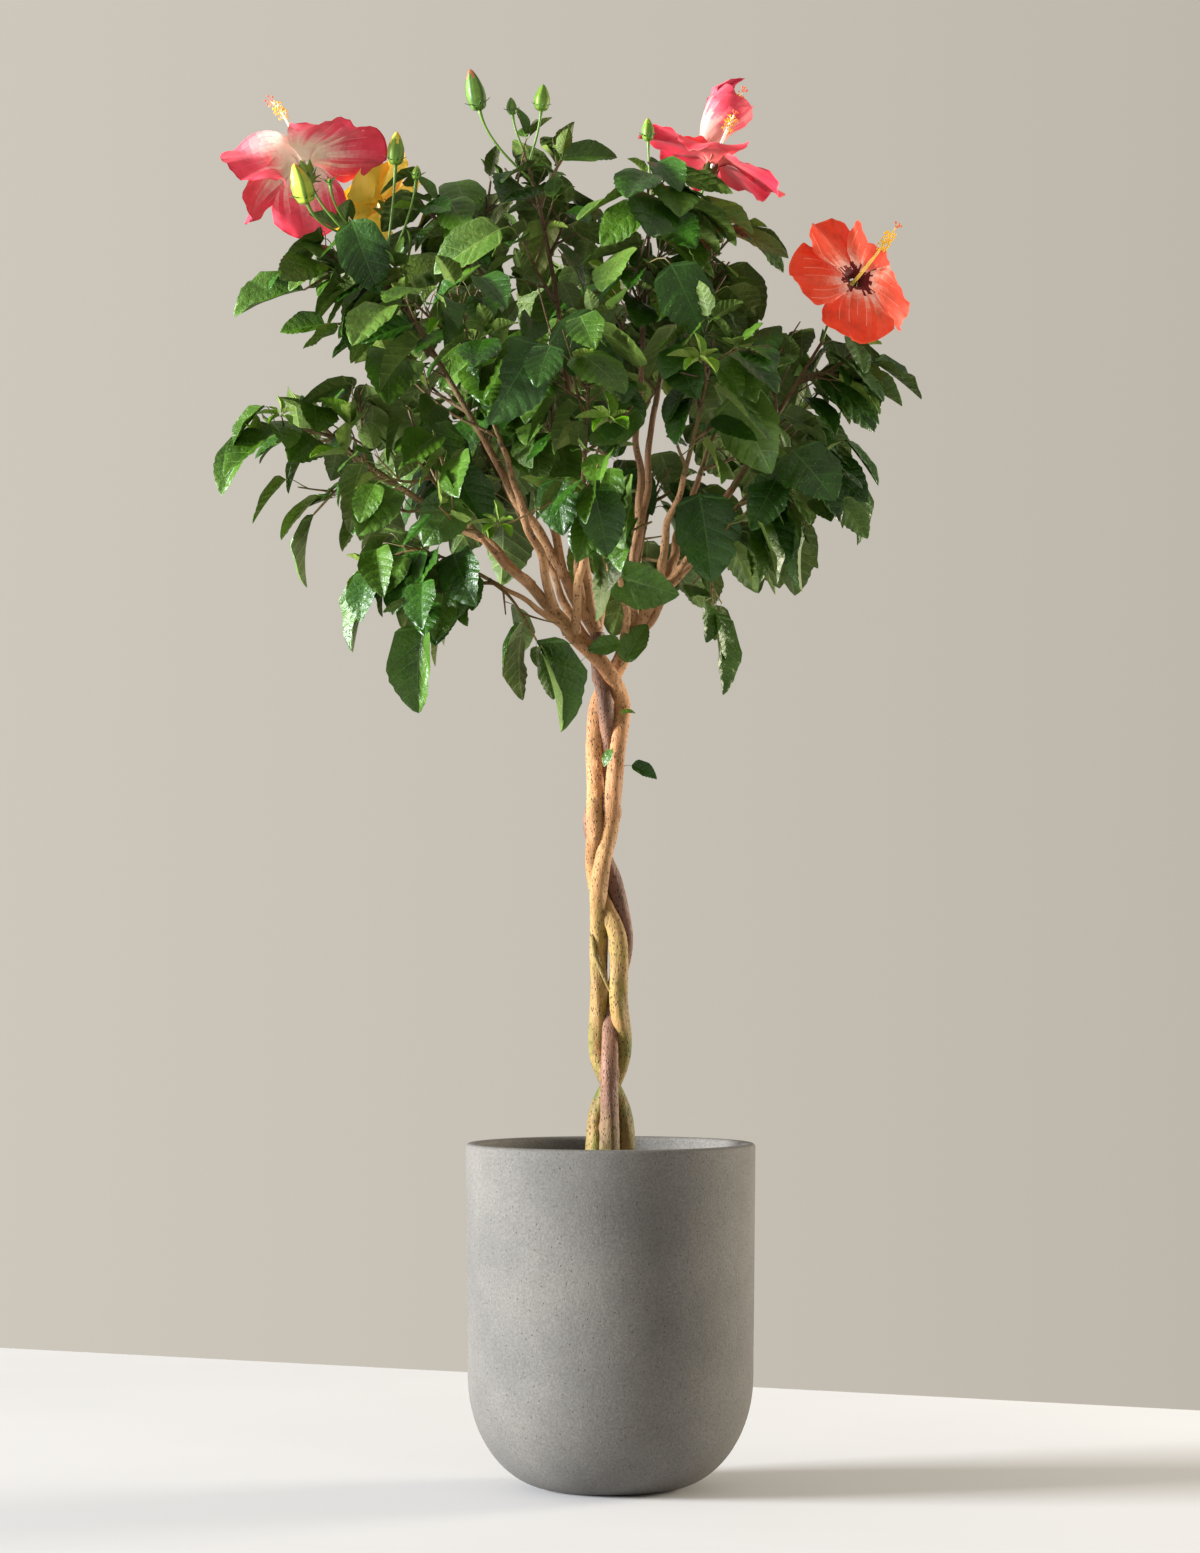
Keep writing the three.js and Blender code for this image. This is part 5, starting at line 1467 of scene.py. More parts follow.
# Twigs, with a swelling at each node. A mass's first twig is the stem that its bough ends in.
FIRST_TWIG = SimpleNamespace(sides=12, steps=28, thinning=0.45, nodes=40, fit=0.98, collar=1)
SIDE_TWIG = SimpleNamespace(sides=7, steps=9, thinning=0.55, nodes=9, collar=1.3)
NODE_SWELL = 0.14
# A dry stub that leans across the gap between the stems, low on the trunk.
STUB = np.array([(-19, -2, 570), (-16, -9, 549), (-7, -11, 527), (2, -9, 506)], dtype=float)
STUB_LOOK = SimpleNamespace(sides=9, steps=12, thick=3.1, thin=1.5)


def smooth_run(points, steps):
    return np.array([catmull_rom(list(points), i / steps) for i in range(steps + 1)])


twigs = Pile()
for limb in LIMBS:
    for order, twig in enumerate(limb.twigs + limb.sprigs):
        look = SIDE_TWIG if order else FIRST_TWIG
        points = smooth_run(twig.points, look.steps)
        radius = twig.radius if order else limb.tip_radius * look.fit
        radii = np.linspace(radius, radius * look.thinning, len(points))
        radii[0] *= look.collar
        wave = np.sin(np.linspace(0, look.nodes, len(points)))
        add_tube(twigs, points, radii * (1 + NODE_SWELL * np.maximum(wave, 0) ** 4), look.sides)
stub_radii = np.linspace(STUB_LOOK.thick, STUB_LOOK.thin, STUB_LOOK.steps + 1)
add_tube(twigs, smooth_run(STUB, STUB_LOOK.steps), stub_radii, STUB_LOOK.sides)
node_names = [f"leaves_{limb.name}" for limb in LIMBS]
twigs.piece("twigs", "bark", [TWIG_BARK], *node_names)
stalks.piece("leaf_stalks", "leaf", [TWIG_BARK, STALK_GREEN, STALK_BROWN], *node_names)

# Flowers: petals as two thin sheets whose narrow columns are veins, a column of beads, and the
# green parts. An open petal's row gives the turn round the axis, the angle it opens to, how much
# further its end droops, and how far it is turned about its own middle. A rolled one's gives the
# turn, and the length and the width of the mouth as shares.

PETALS = {
    "bloom_coral": [(344, 94, 4, -12), (269, 109, 8, -8), (178, 107, 14, 104), (135, 116, 36, -24),
                    (64, 123, 28, 6)],
    "bloom_yellow": [(20, 84, 0, 0), (92, 84, 0, 0), (164, 84, 0, 0), (236, 84, 0, 0), (308, 84, 0, 0)],
    "bloom_pink": [(38, 104, 14, 0), (106, 84, 10, 4), (170, 90, 0, 0), (246, 98, 10, -14),
                   (318, 102, 50, 6)],
    "bloom_orange": [(229, 100, 24, 10), (293, 88, 8, 8), (357, 94, 6, 0), (80, 94, 8, 0),
                     (157, 104, 26, -12)],
    "bloom_closing": [(200, 1.26, 0.2), (272, 0.98, 0.76), (344, 0.92, 0.98), (56, 1.0, 0.92),
                      (128, 1.05, 0.64)],
}
# Each flower's column ends here, from the flower's middle.
STYLES = {
    "bloom_coral": (-40, 58, 78), "bloom_yellow": (-24, 14, 19), "bloom_pink": (24, 12, 58),
    "bloom_closing": (44, -10, 58), "bloom_orange": (43, -48, 52),
}
# The coral flower shows from behind, turned further away than its solid.
CORAL_FACING = (122, 57)
# Petals that are longer or broader than the solid's: length and width.
PETAL_SIZES = {
    "bloom_coral": (91, 70), "bloom_yellow": (47, 90), "bloom_closing": (70, 50), "bloom_orange": (73, 66)}
coral = BLOOMS["bloom_coral"]
coral.facing = CORAL_FACING
set_up_bloom(coral)
for name, size in PETAL_SIZES.items():
    BLOOMS[name].petal, BLOOMS[name].width = size
PETAL = SimpleNamespace(
    rows=52, pace=1.15, veins=7, span=0.8, strip=0.01, rim=0.93, bow=0.26, bow_power=2.2, seat=0.7,
    open_by=0.24, droop_from=0.35, droop_power=1.4, turned_by=0.6, narrow=3.4, broad=1.7, wide=1.16,
    sheet=0.3, steps=80, waves=7, frill=1.3, frills=25, ruffle=4.6, rays=(0.72, 1.28),
    vein_ends=(0.45, 0.8), edge=0.97, under_spread=0.5, mottling=0.25,
)
PETAL_SHADES = 14
# The rolled petals: how they wrap and wind, in degrees, and the tube's radius at shares of its
# length.
ROLL = SimpleNamespace(
    wrap=84, spiral=46, bow=0.3, bow_power=1.6, loosen=1.35, lap=1.3, ruffle=0.45,
    places=[0, 0.3, 0.68, 1], widths=[0.16, 0.62, 0.98],
)


def smooth(share):
    """A share from nought to one that starts and ends level."""
    share = np.clip(share, 0, 1)
    return share * share * (3 - 2 * share)


def petal_columns():
    """Places across a petal, and which strips between them are veins."""
    veins = np.linspace(-PETAL.span, PETAL.span, PETAL.veins)
    between = (veins[:-1] + veins[1:]) / 2
    edges = [-1, -PETAL.rim, PETAL.rim, 1]
    places = np.sort([*edges, *between, *(veins - PETAL.strip), *(veins + PETAL.strip)])
    middles = (places[:-1] + places[1:]) / 2
    return places, np.abs(middles[:, None] - veins).min(axis=1) < PETAL.strip


def petal_wave(u, v, phase):
    """Ruffles that grow towards the margin, and finer frills on it."""
    around = np.arctan2(v, 1.3 * u)
    margin = np.maximum(np.abs(v), u)
    grown = np.clip(2 * u, 0, 1)
    wave = PETAL.ruffle * np.sin(PETAL.waves * around + phase) * margin ** 3
    return (wave + PETAL.frill * np.sin(PETAL.frills * around + 2 * phase) * margin ** 10) * grown


def bowed(u, v, bow=PETAL.bow, power=PETAL.bow_power):
    """Places along a petal, drawn back towards its sides so that its end is round."""
    return u * (1 - bow * np.abs(v) ** power * u)


def petal_points(bloom, petal, u, v, lift):
    """Points u of the way along a petal and v across it, lifted off its middle."""
    turn, opening, droop, twist = petal
    out = square(bloom.axis, turn)
    beside = cross(bloom.axis, out)
    places = np.linspace(0, 1, PETAL.steps)
    angles = mix(BLOOM.cup, opening, smooth(places / PETAL.open_by))
    drooped = np.clip((places - PETAL.droop_from) / (1 - PETAL.droop_from), 0, 1)
    angles = np.radians(angles + droop * drooped ** PETAL.droop_power)
    pace = bloom.petal / (PETAL.steps - 1)
    far = np.cumsum(np.sin(angles)) * pace + BLOOM.throat * PETAL.seat
    high = np.cumsum(np.cos(angles)) * pace
    s = bowed(u, v)
    angle = np.interp(s, places, angles)[..., None]
    face = bloom.axis * np.sin(angle) - out * np.cos(angle)
    turned_by = math.radians(twist) * smooth(s / PETAL.turned_by)[..., None]
    side = beside * np.cos(turned_by) + face * np.sin(turned_by)
    face = face * np.cos(turned_by) - beside * np.sin(turned_by)
    reach = np.sin(np.clip(s * PETAL.broad, 0, 1) * math.pi / 2) * mix(0.9, 1, np.clip(s, 0, 1))
    half = mix(PETAL.narrow, bloom.width / 2 * PETAL.wide, reach)
    lap = BLOOM.ruffle * (np.clip(3 * s, 0, 1) * v + 0.5 * s * np.abs(v))
    margin = np.maximum(np.abs(v), u)
    height = lap + petal_wave(u, v, math.radians(7 * turn)) + lift * (1 - margin ** 6)
    spine = out * np.interp(s, places, far)[..., None] + bloom.axis * np.interp(s, places, high)[..., None]
    return bloom.centre + spine + side * (half * v)[..., None] + face * height[..., None]


def furled_points(bloom, petal, u, v, lift):
    """Points of a petal that is rolled round the flower's axis."""
    turn, length, mouth = petal
    s = bowed(u, v, ROLL.bow, ROLL.bow_power)
    angle = np.radians(turn + ROLL.wrap * v * (1 - ROLL.loosen * s * (length - 1)) + ROLL.spiral * s)
    radius = bloom.width / 2 * np.interp(s, ROLL.places, [*ROLL.widths, mouth])
    margin = np.maximum(np.abs(v), u)
    ruffle = petal_wave(u, v, turn) * ROLL.ruffle
    radius = radius + ROLL.lap * v + ruffle - lift * (1 - margin ** 6)
    along = bloom.axis * (s * bloom.petal * length)[..., None]
    return bloom.centre + along + round_axis(bloom.axis, angle) * radius[..., None]


def petal_slots(bloom, u, v, veined, draw, lower):
    """Each face's shade, counted from the throat to the margin, or the veins' own."""
    ray = draw.uniform(*PETAL.rays, len(v))[None]
    vein_ends = draw.uniform(*PETAL.vein_ends, len(v))[None]
    u = u[:, None]
    v = v[None]
    s = bowed(u, v)
    margin = np.maximum(np.abs(v), u)
    first_stop = bloom.under_stop if lower else bloom.upper_stop
    place = s * (1 + PETAL.under_spread * np.abs(v) if lower else 1) / ray
    place = np.where(margin > PETAL.edge, 1, np.minimum(place, PETAL.rim))
    grain = draw.uniform(-PETAL.mottling, PETAL.mottling, place.shape)
    shades = np.clip(np.round(place * (PETAL_SHADES - 1) + grain), 0, PETAL_SHADES - 1)
    shades = shades.astype(int) + PETAL_SHADES * lower
    vein = veined & (s > first_stop) & (s < vein_ends)
    return np.where(vein, VEINS[int(lower)], shades).ravel()


def add_petal(pile, bloom, petal, shape, draw):
    """A petal's two sheets, with their points from the given shape."""
    v, veined = petal_columns()
    u = np.linspace(0, 1, PETAL.rows) ** PETAL.pace
    rows, columns = np.meshgrid(u, v, indexing="ij")
    middles = ((u[:-1] + u[1:]) / 2, (v[:-1] + v[1:]) / 2)
    for lower in (False, True):
        lift = -PETAL.sheet if lower else PETAL.sheet
        slots = petal_slots(bloom, *middles, veined, draw, lower)
        pile.grid(shape(bloom, petal, rows, columns, lift), slots, flip=lower)


BEAD_SIDES = 7
BEAD_ROWS = 5


def add_bead(pile, centre, radius, slots, axis, stretch):
    """A small ball, stretched or pressed along its axis."""
    round_it = round_axis(axis, even_angles(BEAD_SIDES))
    rings = [
        centre + axis * radius * stretch * -math.cos(t) + round_it * radius * math.sin(t)
        for t in np.linspace(0, math.pi, BEAD_ROWS)]
    pile.grid(np.array(rings), slots, wrap=True, start_point=True, end_point=True)


# Slots after the petals' shades: veins above and below, the column, anthers, threads and tips.
VEINS = (PETAL_SHADES * 2, PETAL_SHADES * 2 + 1)
COLUMN, ANTHER, THREAD, STIGMA = (VEINS[1] + k for k in range(1, 5))
ANTHERS = SimpleNamespace(
    count=44, first=0.66, last=0.9, crowding=0.85, reach=4.6, root=0.6, radius=1.25, flat=0.75,
    thread=np.array([0.3, 0.24, 0.24]),
)
STIGMAS = SimpleNamespace(
    count=5, at=0.97, turn=20, spread=0.75, reach=0.075, radius=1.25, flat=0.8,
    thread=np.array([0.45, 0.35, 0.3]),
)
COLUMN_SHAPE = SimpleNamespace(
    steps=22, sides=9, sunk=2, early=0.35, late=0.72, places=[0, 0.5, 0.88, 1],
    radii=[1.05, 0.78, 0.5, 0.26],
)


def add_column(pile, bloom, end, draw):
    """The column of joined stamens, with a bead on each thread and five tips at its end."""
    top = bloom.centre + end
    size = length_of(end)
    low = bloom.centre - bloom.axis * COLUMN_SHAPE.sunk
    early = low + bloom.axis * size * COLUMN_SHAPE.early
    late = low + bloom.axis * size * COLUMN_SHAPE.late
    shares = np.linspace(0, 1, COLUMN_SHAPE.steps)
    path = bezier(low, early, late, top, shares)
    radii = BLOOM.column_radius * np.interp(shares, COLUMN_SHAPE.places, COLUMN_SHAPE.radii)
    add_tube(pile, path, radii, COLUMN_SHAPE.sides, COLUMN)
    for k in range(ANTHERS.count):
        share = mix(ANTHERS.first, ANTHERS.last, (k / (ANTHERS.count - 1)) ** ANTHERS.crowding)
        root, along = place_on(path, share)
        out = unit(square(along, GOLDEN_ANGLE * k) + along * draw.uniform(-0.1, 0.6))
        reach = BLOOM.column_radius * ANTHERS.root + ANTHERS.reach * draw.uniform(0.55, 1.25)
        bead = root + out * reach
        add_tube(pile, np.array([root, mix(root, bead, 0.5), bead]), ANTHERS.thread, 4, THREAD)
        add_bead(pile, bead, ANTHERS.radius * draw.uniform(0.8, 1.2), ANTHER, out, ANTHERS.flat)
    root, along = place_on(path, STIGMAS.at)
    for k in range(STIGMAS.count):
        turn = 360 / STIGMAS.count * k + STIGMAS.turn
        out = unit(square(along, turn) * STIGMAS.spread + along)
        tip = root + out * size * STIGMAS.reach
        add_tube(pile, np.array([root, mix(root, tip, 0.6), tip]), STIGMAS.thread, 5, STIGMA)
        add_bead(pile, tip, STIGMAS.radius, STIGMA, out, STIGMAS.flat)


# How petals look: the strength of their painted glow, which brightens them as light would, their sheen, and
# how far their tints deepen and pale.
PETAL_LOOK = SimpleNamespace(glow=0.12, sheen=0.05, deepened=0.9, paled=0.05)


def petal_material(name, colour):
    """Petal colour with faint drifting tints and the fine grain of a petal's surface, with a weak painted
    glow of that colour, though the petal is no lamp.
    """
    material, tree, shader, coords = new_material(name, roughness=0.55, specular=0.22)
    drift = noise(tree, coords, scale=60)
    deep = srgb(*(PETAL_LOOK.deepened * part for part in colour))
    pale = srgb(*(mix(part, 255, PETAL_LOOK.paled) for part in colour))
    shade = ramp(tree, drift, (0.32, deep), (0.5, srgb(*colour)), (0.7, pale))
    tree.links.new(shade, shader.inputs["Base Color"])
    shader.inputs["Sheen Weight"].default_value = PETAL_LOOK.sheen
    # Painted light: the petal's own colour glows a little, so petals in shade still look lit.
    tree.links.new(shade, shader.inputs["Emission Color"])
    shader.inputs["Emission Strength"].default_value = PETAL_LOOK.glow
    bump(tree, shader, noise(tree, coords, scale=900), distance=0.00025, strength=0.5)
    return material


def shades_of(stops):
    """Colours at even places from the throat to the margin, between stops of place and colour."""
    known, colours = zip(*stops)
    places = np.linspace(0, 1, PETAL_SHADES)
    return zip(*(map(float, np.interp(places, known, parts)) for parts in zip(*colours)))


# Per flower: the petals' colours above and below from throat to margin, the veins' above and below,
# and those of the column, anthers, threads and tips.
FLOWER_COLOURS = {
    "bloom_coral": (
        [(0, (120, 10, 24)), (0.14, (150, 20, 40)), (0.22, (246, 190, 176)), (0.45, (236, 96, 108)),
         (0.92, (226, 62, 84)), (1, (216, 46, 64))],
        [(0, (255, 236, 214)), (0.3, (255, 220, 200)), (0.5, (250, 168, 164)), (0.66, (244, 100, 116)),
         (0.93, (238, 66, 88)), (1, (218, 42, 62))],
        [(234, 112, 120), (252, 142, 148)],
        [(250, 226, 170), (246, 182, 64), (248, 222, 190), (232, 96, 70)]),
    "bloom_yellow": (
        [(0, (190, 70, 30)), (0.12, (250, 226, 150)), (0.4, (248, 202, 62)), (1, (248, 208, 80))],
        [(0, (244, 194, 56)), (0.5, (250, 202, 60)), (1, (250, 208, 80))],
        [(240, 184, 46), (240, 184, 50)],
        [(250, 222, 150), (244, 176, 40), (250, 226, 170), (226, 110, 50)]),
    "bloom_pink": (
        [(0, (130, 10, 30)), (0.16, (170, 24, 54)), (0.24, (250, 150, 150)), (0.45, (248, 68, 84)),
         (0.93, (248, 60, 78)), (1, (250, 96, 92))],
        [(0, (226, 120, 108)), (0.34, (232, 84, 92)), (0.6, (234, 52, 74)), (0.93, (236, 46, 70)),
         (1, (246, 92, 96))],
        [(250, 100, 112), (216, 56, 76)],
        [(246, 246, 232), (240, 162, 30), (248, 238, 216), (226, 100, 60)]),
    "bloom_closing": (
        [(0, (84, 6, 26)), (0.4, (120, 14, 46)), (0.75, (180, 36, 70)), (1, (214, 66, 90))],
        [(0, (216, 140, 128)), (0.2, (226, 164, 150)), (0.5, (224, 156, 146)), (0.68, (224, 96, 108)),
         (0.93, (222, 70, 88)), (1, (218, 64, 84))],
        [(150, 24, 60), (220, 124, 124)],
        [(246, 240, 222), (240, 164, 30), (240, 200, 196), (226, 100, 60)]),
    "bloom_orange": (
        [(0, (70, 2, 6)), (0.17, (100, 6, 12)), (0.2, (246, 186, 172)), (0.28, (242, 150, 130)),
         (0.42, (240, 86, 58)), (0.92, (240, 64, 34)), (1, (242, 86, 44))],
        [(0, (246, 190, 146)), (0.4, (240, 102, 62)), (0.93, (238, 78, 44)), (1, (242, 92, 46))],
        [(244, 140, 118), (242, 140, 104)],
        [(250, 206, 96), (248, 196, 24), (250, 214, 120), (232, 116, 50)]),
}

for name, bloom in BLOOMS.items():
    draw = np.random.default_rng(len(name) + int(bloom.petal))
    above, below, veins, column = FLOWER_COLOURS[name]
    bloom.upper_stop = above[1][0]
    bloom.under_stop = below[1][0]
    pile = Pile()
    for petal in PETALS[name]:
        add_petal(pile, bloom, petal, petal_points if bloom.opened else furled_points, draw)
    add_column(pile, bloom, vector(*STYLES[name]), draw)
    kind = name.replace("bloom_", "")
    colours = [*shades_of(above), *shades_of(below), *veins, *column]
    materials = [petal_material(f"{kind}_{order}", colour) for order, colour in enumerate(colours)]
    pile.piece(f"flower_{kind}", f"petal_{kind}", materials, name)

# Calyxes, bracts, stalks and buds.

SEPAL_GREEN, BRACT_GREEN, BUD_LIME, BUD_RIB, TIP_GOLD, TIP_CORAL, DARK_SEPAL = range(7)
GREENS = [
    plain_leaf("sepal_green", (104, 144, 50), 0.42), plain_leaf("bract_green", (66, 104, 36), 0.45),
    plain_leaf("bud_lime", (190, 206, 72), 0.4), plain_leaf("bud_rib", (132, 164, 48), 0.42),
    plain_leaf("bud_tip_gold", (232, 206, 70), 0.45), plain_leaf("bud_tip_coral", (214, 112, 84), 0.45),
    plain_leaf("sepal_dark", (62, 78, 26), 0.42),
]
LOBES = 5
CUP = SimpleNamespace(
    sides=40, rows=9, places=[0, 0.14, 0.5, 1], widths=[0.28, 0.8, 1, 0.96], rib=0.06, wall=0.7,
    floor=0.6, narrowest=0.2, lobe=9, taller=1.12, wider=1.15,
)
BRACT = SimpleNamespace(
    count=8, rows=7, curl=0.25, above=0.3, below=0.5, first=11, uneven=0.16, lean=0.2, sizes=0.1,
    width=3.2, narrow=2.2, under_bloom=16, bloom_opening=56, bud_opening=46, small_opening=38,
    shortest=13,
)
GREEN_STALK = SimpleNamespace(
    rows=26, sides=9, places=[0, 0.1, 0.8, 1], girths=[1.15, 0.9, 0.9, 1.5], bloom=0.85, bud=0.8,
    small_bud=0.7,
)
BUD = SimpleNamespace(
    sides=30, rows=22, winding=0.35, rib=0.05, fine_rib=0.02, rib_slot=0.55, tip_lobe=0.14, sunk=1,
    places=[0, 0.1, 0.3, 0.5, 0.72, 0.88, 0.97, 1], widths=[0.4, 0.78, 1, 0.98, 0.72, 0.42, 0.18, 0],
)


def cup_grid(foot, axis, heights, radii, lobe):
    """A cup of five lobes round an axis: rows from its foot to its pointed margin."""
    angles = even_angles(CUP.sides)
    round_it = round_axis(axis, angles)
    point = 1 - np.abs(np.mod(LOBES * angles / (2 * math.pi) + 0.5, 1) - 0.5) * 2
    rib = 1 + CUP.rib * np.cos(LOBES * angles)
    total = heights[-1]
    rows = []
    for height, radius in zip(heights, radii):
        up = height - lobe * (1 - point) * (height / total) ** 3
        rows.append(foot + axis * up[:, None] + round_it * (radius * rib)[:, None])
    return np.array(rows)


def add_cup(pile, foot, axis, length, radius, lobe, slots):
    """A calyx with an outer and an inner face."""
    shares = np.linspace(0, 1, CUP.rows)
    outer = radius * np.interp(shares, CUP.places, CUP.widths)
    inner = np.maximum(outer - CUP.wall, CUP.narrowest)
    outside = cup_grid(foot, axis, shares * length, outer, lobe)
    inner_foot = foot + axis * CUP.floor
    inside = cup_grid(inner_foot, axis, shares * (length - CUP.floor), inner, lobe)[::-1]
    pile.grid(np.concatenate([outside, inside]), slots, wrap=True)


def add_bract(pile, root, heading, face, length, width, slots):
    """A narrow leaf without a stalk, thick along its middle."""
    side = unit(cross(heading, face))
    face = cross(side, heading)
    shares = np.linspace(0, 1, BRACT.rows)
    half_width = width / 2 * np.sin(math.pi * np.clip(shares * 0.86 + 0.12, 0, 1)) ** 0.8
    half = side * half_width[:, None]
    curled = face * (BRACT.curl * length * shares ** 2)[:, None]
    middle = root + heading * (shares * length)[:, None] - curled
    rows = [middle - half, middle + face * BRACT.above, middle + half, middle - face * BRACT.below]
    pile.grid(np.stack(rows, axis=1), slots, wrap=True, end_point=True)


def add_bracts(pile, root, axis, length, width, opening):
    """A whorl of bracts that open by an angle and differ a little in angle and length."""
    for k in range(BRACT.count):
        out = square(axis, 360 * k / BRACT.count + BRACT.first)
        angle = math.radians(opening * (1 + BRACT.uneven * math.sin(5 * k)))
        heading = unit(axis * math.cos(angle) + out * math.sin(angle))
        face = unit(axis - out * BRACT.lean)
        size = length * (1 + BRACT.sizes * math.cos(3 * k))
        add_bract(pile, root, heading, face, size, width, BRACT_GREEN)


def add_bud(pile, foot, axis, length, radius, slots, tip_slot, tip_from):
    """A ribbed bud with a coloured tip where the petals show between the sepals."""
    shares = np.linspace(0, 1, BUD.rows)
    angles = even_angles(BUD.sides)
    turn = angles[None] + BUD.winding * shares[:, None]
    rib = 1 + BUD.rib * np.cos(LOBES * angles) + BUD.fine_rib * np.cos(3 * LOBES * angles)
    radii = radius * np.interp(shares, BUD.places, BUD.widths)[:, None] * rib
    rows = foot + axis * (shares * length)[:, None, None] + round_axis(axis, turn) * radii[..., None]
    middles = (shares[:-1] + shares[1:]) / 2
    crest = np.cos(LOBES * (angles + math.pi / BUD.sides))[None]
    kinds = np.where(crest > BUD.rib_slot, slots[1], slots[0])
    kinds = np.where(middles[:, None] > tip_from + BUD.tip_lobe * crest, tip_slot, kinds)
    pile.grid(rows, kinds.ravel(), wrap=True, start_point=True, end_point=True)


def add_stalk(pile, path, size):
    """A flower's or bud's stalk, its size a share of the solid's."""
    shares = np.linspace(0, 1, GREEN_STALK.rows)
    radii = BLOOM.stalk_radius * size * np.interp(shares, GREEN_STALK.places, GREEN_STALK.girths)
    add_tube(pile, path(shares), radii, GREEN_STALK.sides, SEPAL_GREEN)


greens = Pile()
for name, bloom in BLOOMS.items():
    sepal = DARK_SEPAL if name == "bloom_pink" else SEPAL_GREEN
    add_stalk(greens, bloom.path, GREEN_STALK.bloom)
    add_cup(greens, bloom.foot - bloom.axis, bloom.axis, BLOOM.calyx_height * CUP.taller,
            BLOOM.calyx_radius * CUP.wider, CUP.lobe, sepal)
    add_bracts(greens, bloom.foot, bloom.axis, BRACT.under_bloom, BRACT.width, BRACT.bloom_opening)

# Buds: lower part, ribs, tip, where the tip's colour starts (past one for nowhere), the bracts'
# length, and the size beside the solid's.
BUD_LOOKS = {
    "bud_tall": (SEPAL_GREEN, BRACT_GREEN, TIP_CORAL, 0.86, 17.25, 1.06),
    "bud_middle": (SEPAL_GREEN, BRACT_GREEN, SEPAL_GREEN, 1.2, 10.35, 1.1),
    "bud_short": (SEPAL_GREEN, BUD_RIB, SEPAL_GREEN, 1.2, 12.65, 1.06),
    "bud_coral": (BUD_LIME, BUD_RIB, TIP_GOLD, 0.84, 21.85, 1.26),
    "bud_gold": (SEPAL_GREEN, BUD_RIB, TIP_GOLD, 0.74, 13.8, 1.08),
}
for name, bud in BUDS.items():
    body, rib, tip, tip_from, bracts, size = BUD_LOOKS[name]
    add_stalk(greens, bud.path, GREEN_STALK.bud)
    foot = bud.foot - bud.axis * BUD.sunk
    length = bud.length * size + BUD.sunk
    add_bud(greens, foot, bud.axis, length, bud.radius * size, (body, rib), tip, tip_from)
    add_bracts(greens, bud.foot, bud.axis, bracts, BRACT.width, BRACT.bud_opening)

# Small buds that only the looks have: the limb, the share of it, the tip, length and radius.
SMALL_BUDS = [
    ("upper_front", 0.97, (38, -96, 1404), 24, 6.5), ("upper_front", 0.9, (26, -118, 1338), 26, 7),
    ("upper_left", 0.9, (-200, -34, 1366), 15, 5), ("upper_left", 0.98, (-288, -84, 1344), 7, 3),
]
SMALL_BUD_RISE = 0.7
for row in SMALL_BUDS:
    bud = record(BUD_KEYS, row)
    set_up_bud(bud, SMALL_BUD_RISE)
    add_stalk(greens, bud.path, GREEN_STALK.small_bud)
    add_bud(greens, bud.foot, bud.axis, bud.length, bud.radius, (SEPAL_GREEN, BUD_RIB), BUD_LIME, 0.9)
    bracts = max(bud.length * 0.5, BRACT.shortest)
    add_bracts(greens, bud.foot, bud.axis, bracts, BRACT.narrow, BRACT.small_opening)
greens.piece("flower_greens", "bud", GREENS, *BLOOMS, *BUDS)

# Pot and soil.

pot_material, tree, shader, coords = new_material("pot_stone", roughness=0.78, specular=0.35)
cloud = noise(tree, coords, scale=9, detail=5, roughness=0.6)
colour = ramp(tree, cloud, (0.3, srgb(103, 101, 98)), (0.7, srgb(121, 118, 114)))
grit = noise(tree, coords, scale=420, detail=5, roughness=0.7)
colour = grained(tree, 0.55, colour, grit, dark=(128, 126, 122), full_at=0.68)
pits = dots(tree, coords, scale=150, low=0.06, high=0.13)
colour = blend(tree, pits, colour, srgb(70, 66, 62))
tree.links.new(colour, shader.inputs["Base Color"])
bump(tree, shader, arithmetic(tree, "SUBTRACT", grit, pits), distance=0.0007, strength=0.8)

POT_MESH = SimpleNamespace(
    segments=144, corner_rows=26, side_rows=24, inner_rows=12, lip_rows=5, uneven=0.06)
POT_SEED = 5
SOIL_MESH = SimpleNamespace(
    bottom=290, edge_gap=1, level=0.38, rows=60, segments=110, uneven=0.7, settled=0.6)
SOIL_SEED = 8


def pot_profile():
    """The pot's outline from the middle of its underside round to the middle of its floor."""
    angles = np.linspace(0, math.pi / 2, POT_MESH.corner_rows)
    corner = [(mix(POT.foot, POT.waist, math.sin(a)), 1 - math.cos(a)) for a in angles]
    outside = [(radius, POT.corner * rise) for radius, rise in corner]
    bowl = [(radius - POT.wall, mix(POT.floor, POT.corner, rise)) for radius, rise in corner[-2::-1]]
    inner = POT.rim - POT.wall
    lip_foot = POT.height - POT.lip
    side = [
        (mix(POT.waist, POT.rim, share), mix(POT.corner, lip_foot, share))
        for share in np.linspace(0.06, 1, POT_MESH.side_rows)]
    down = [
        (mix(inner, POT.waist - POT.wall, share), mix(lip_foot, POT.corner, share))
        for share in np.linspace(0, 1, POT_MESH.inner_rows)]
    turns = np.linspace(0.2, math.pi / 2 - 0.05, POT_MESH.lip_rows)
    lip = [
        (centre + POT.lip * math.cos(start + turn), lip_foot + POT.lip * math.sin(start + turn))
        for centre, start in ((POT.rim - POT.lip, 0), (inner + POT.lip, math.pi / 2)) for turn in turns]
    return [(0, 0), (POT.foot * 0.5, 0)] + outside + side + lip + down + bowl + [(0, POT.floor)]


def lathe_rows(profile, segments):
    """Rings round the upright axis, one for each radius and height of a profile."""
    angles = even_angles(segments)
    return np.array([
        np.stack([radius * np.cos(angles), radius * np.sin(angles), np.full(segments, height)], axis=-1)
        for radius, height in profile])


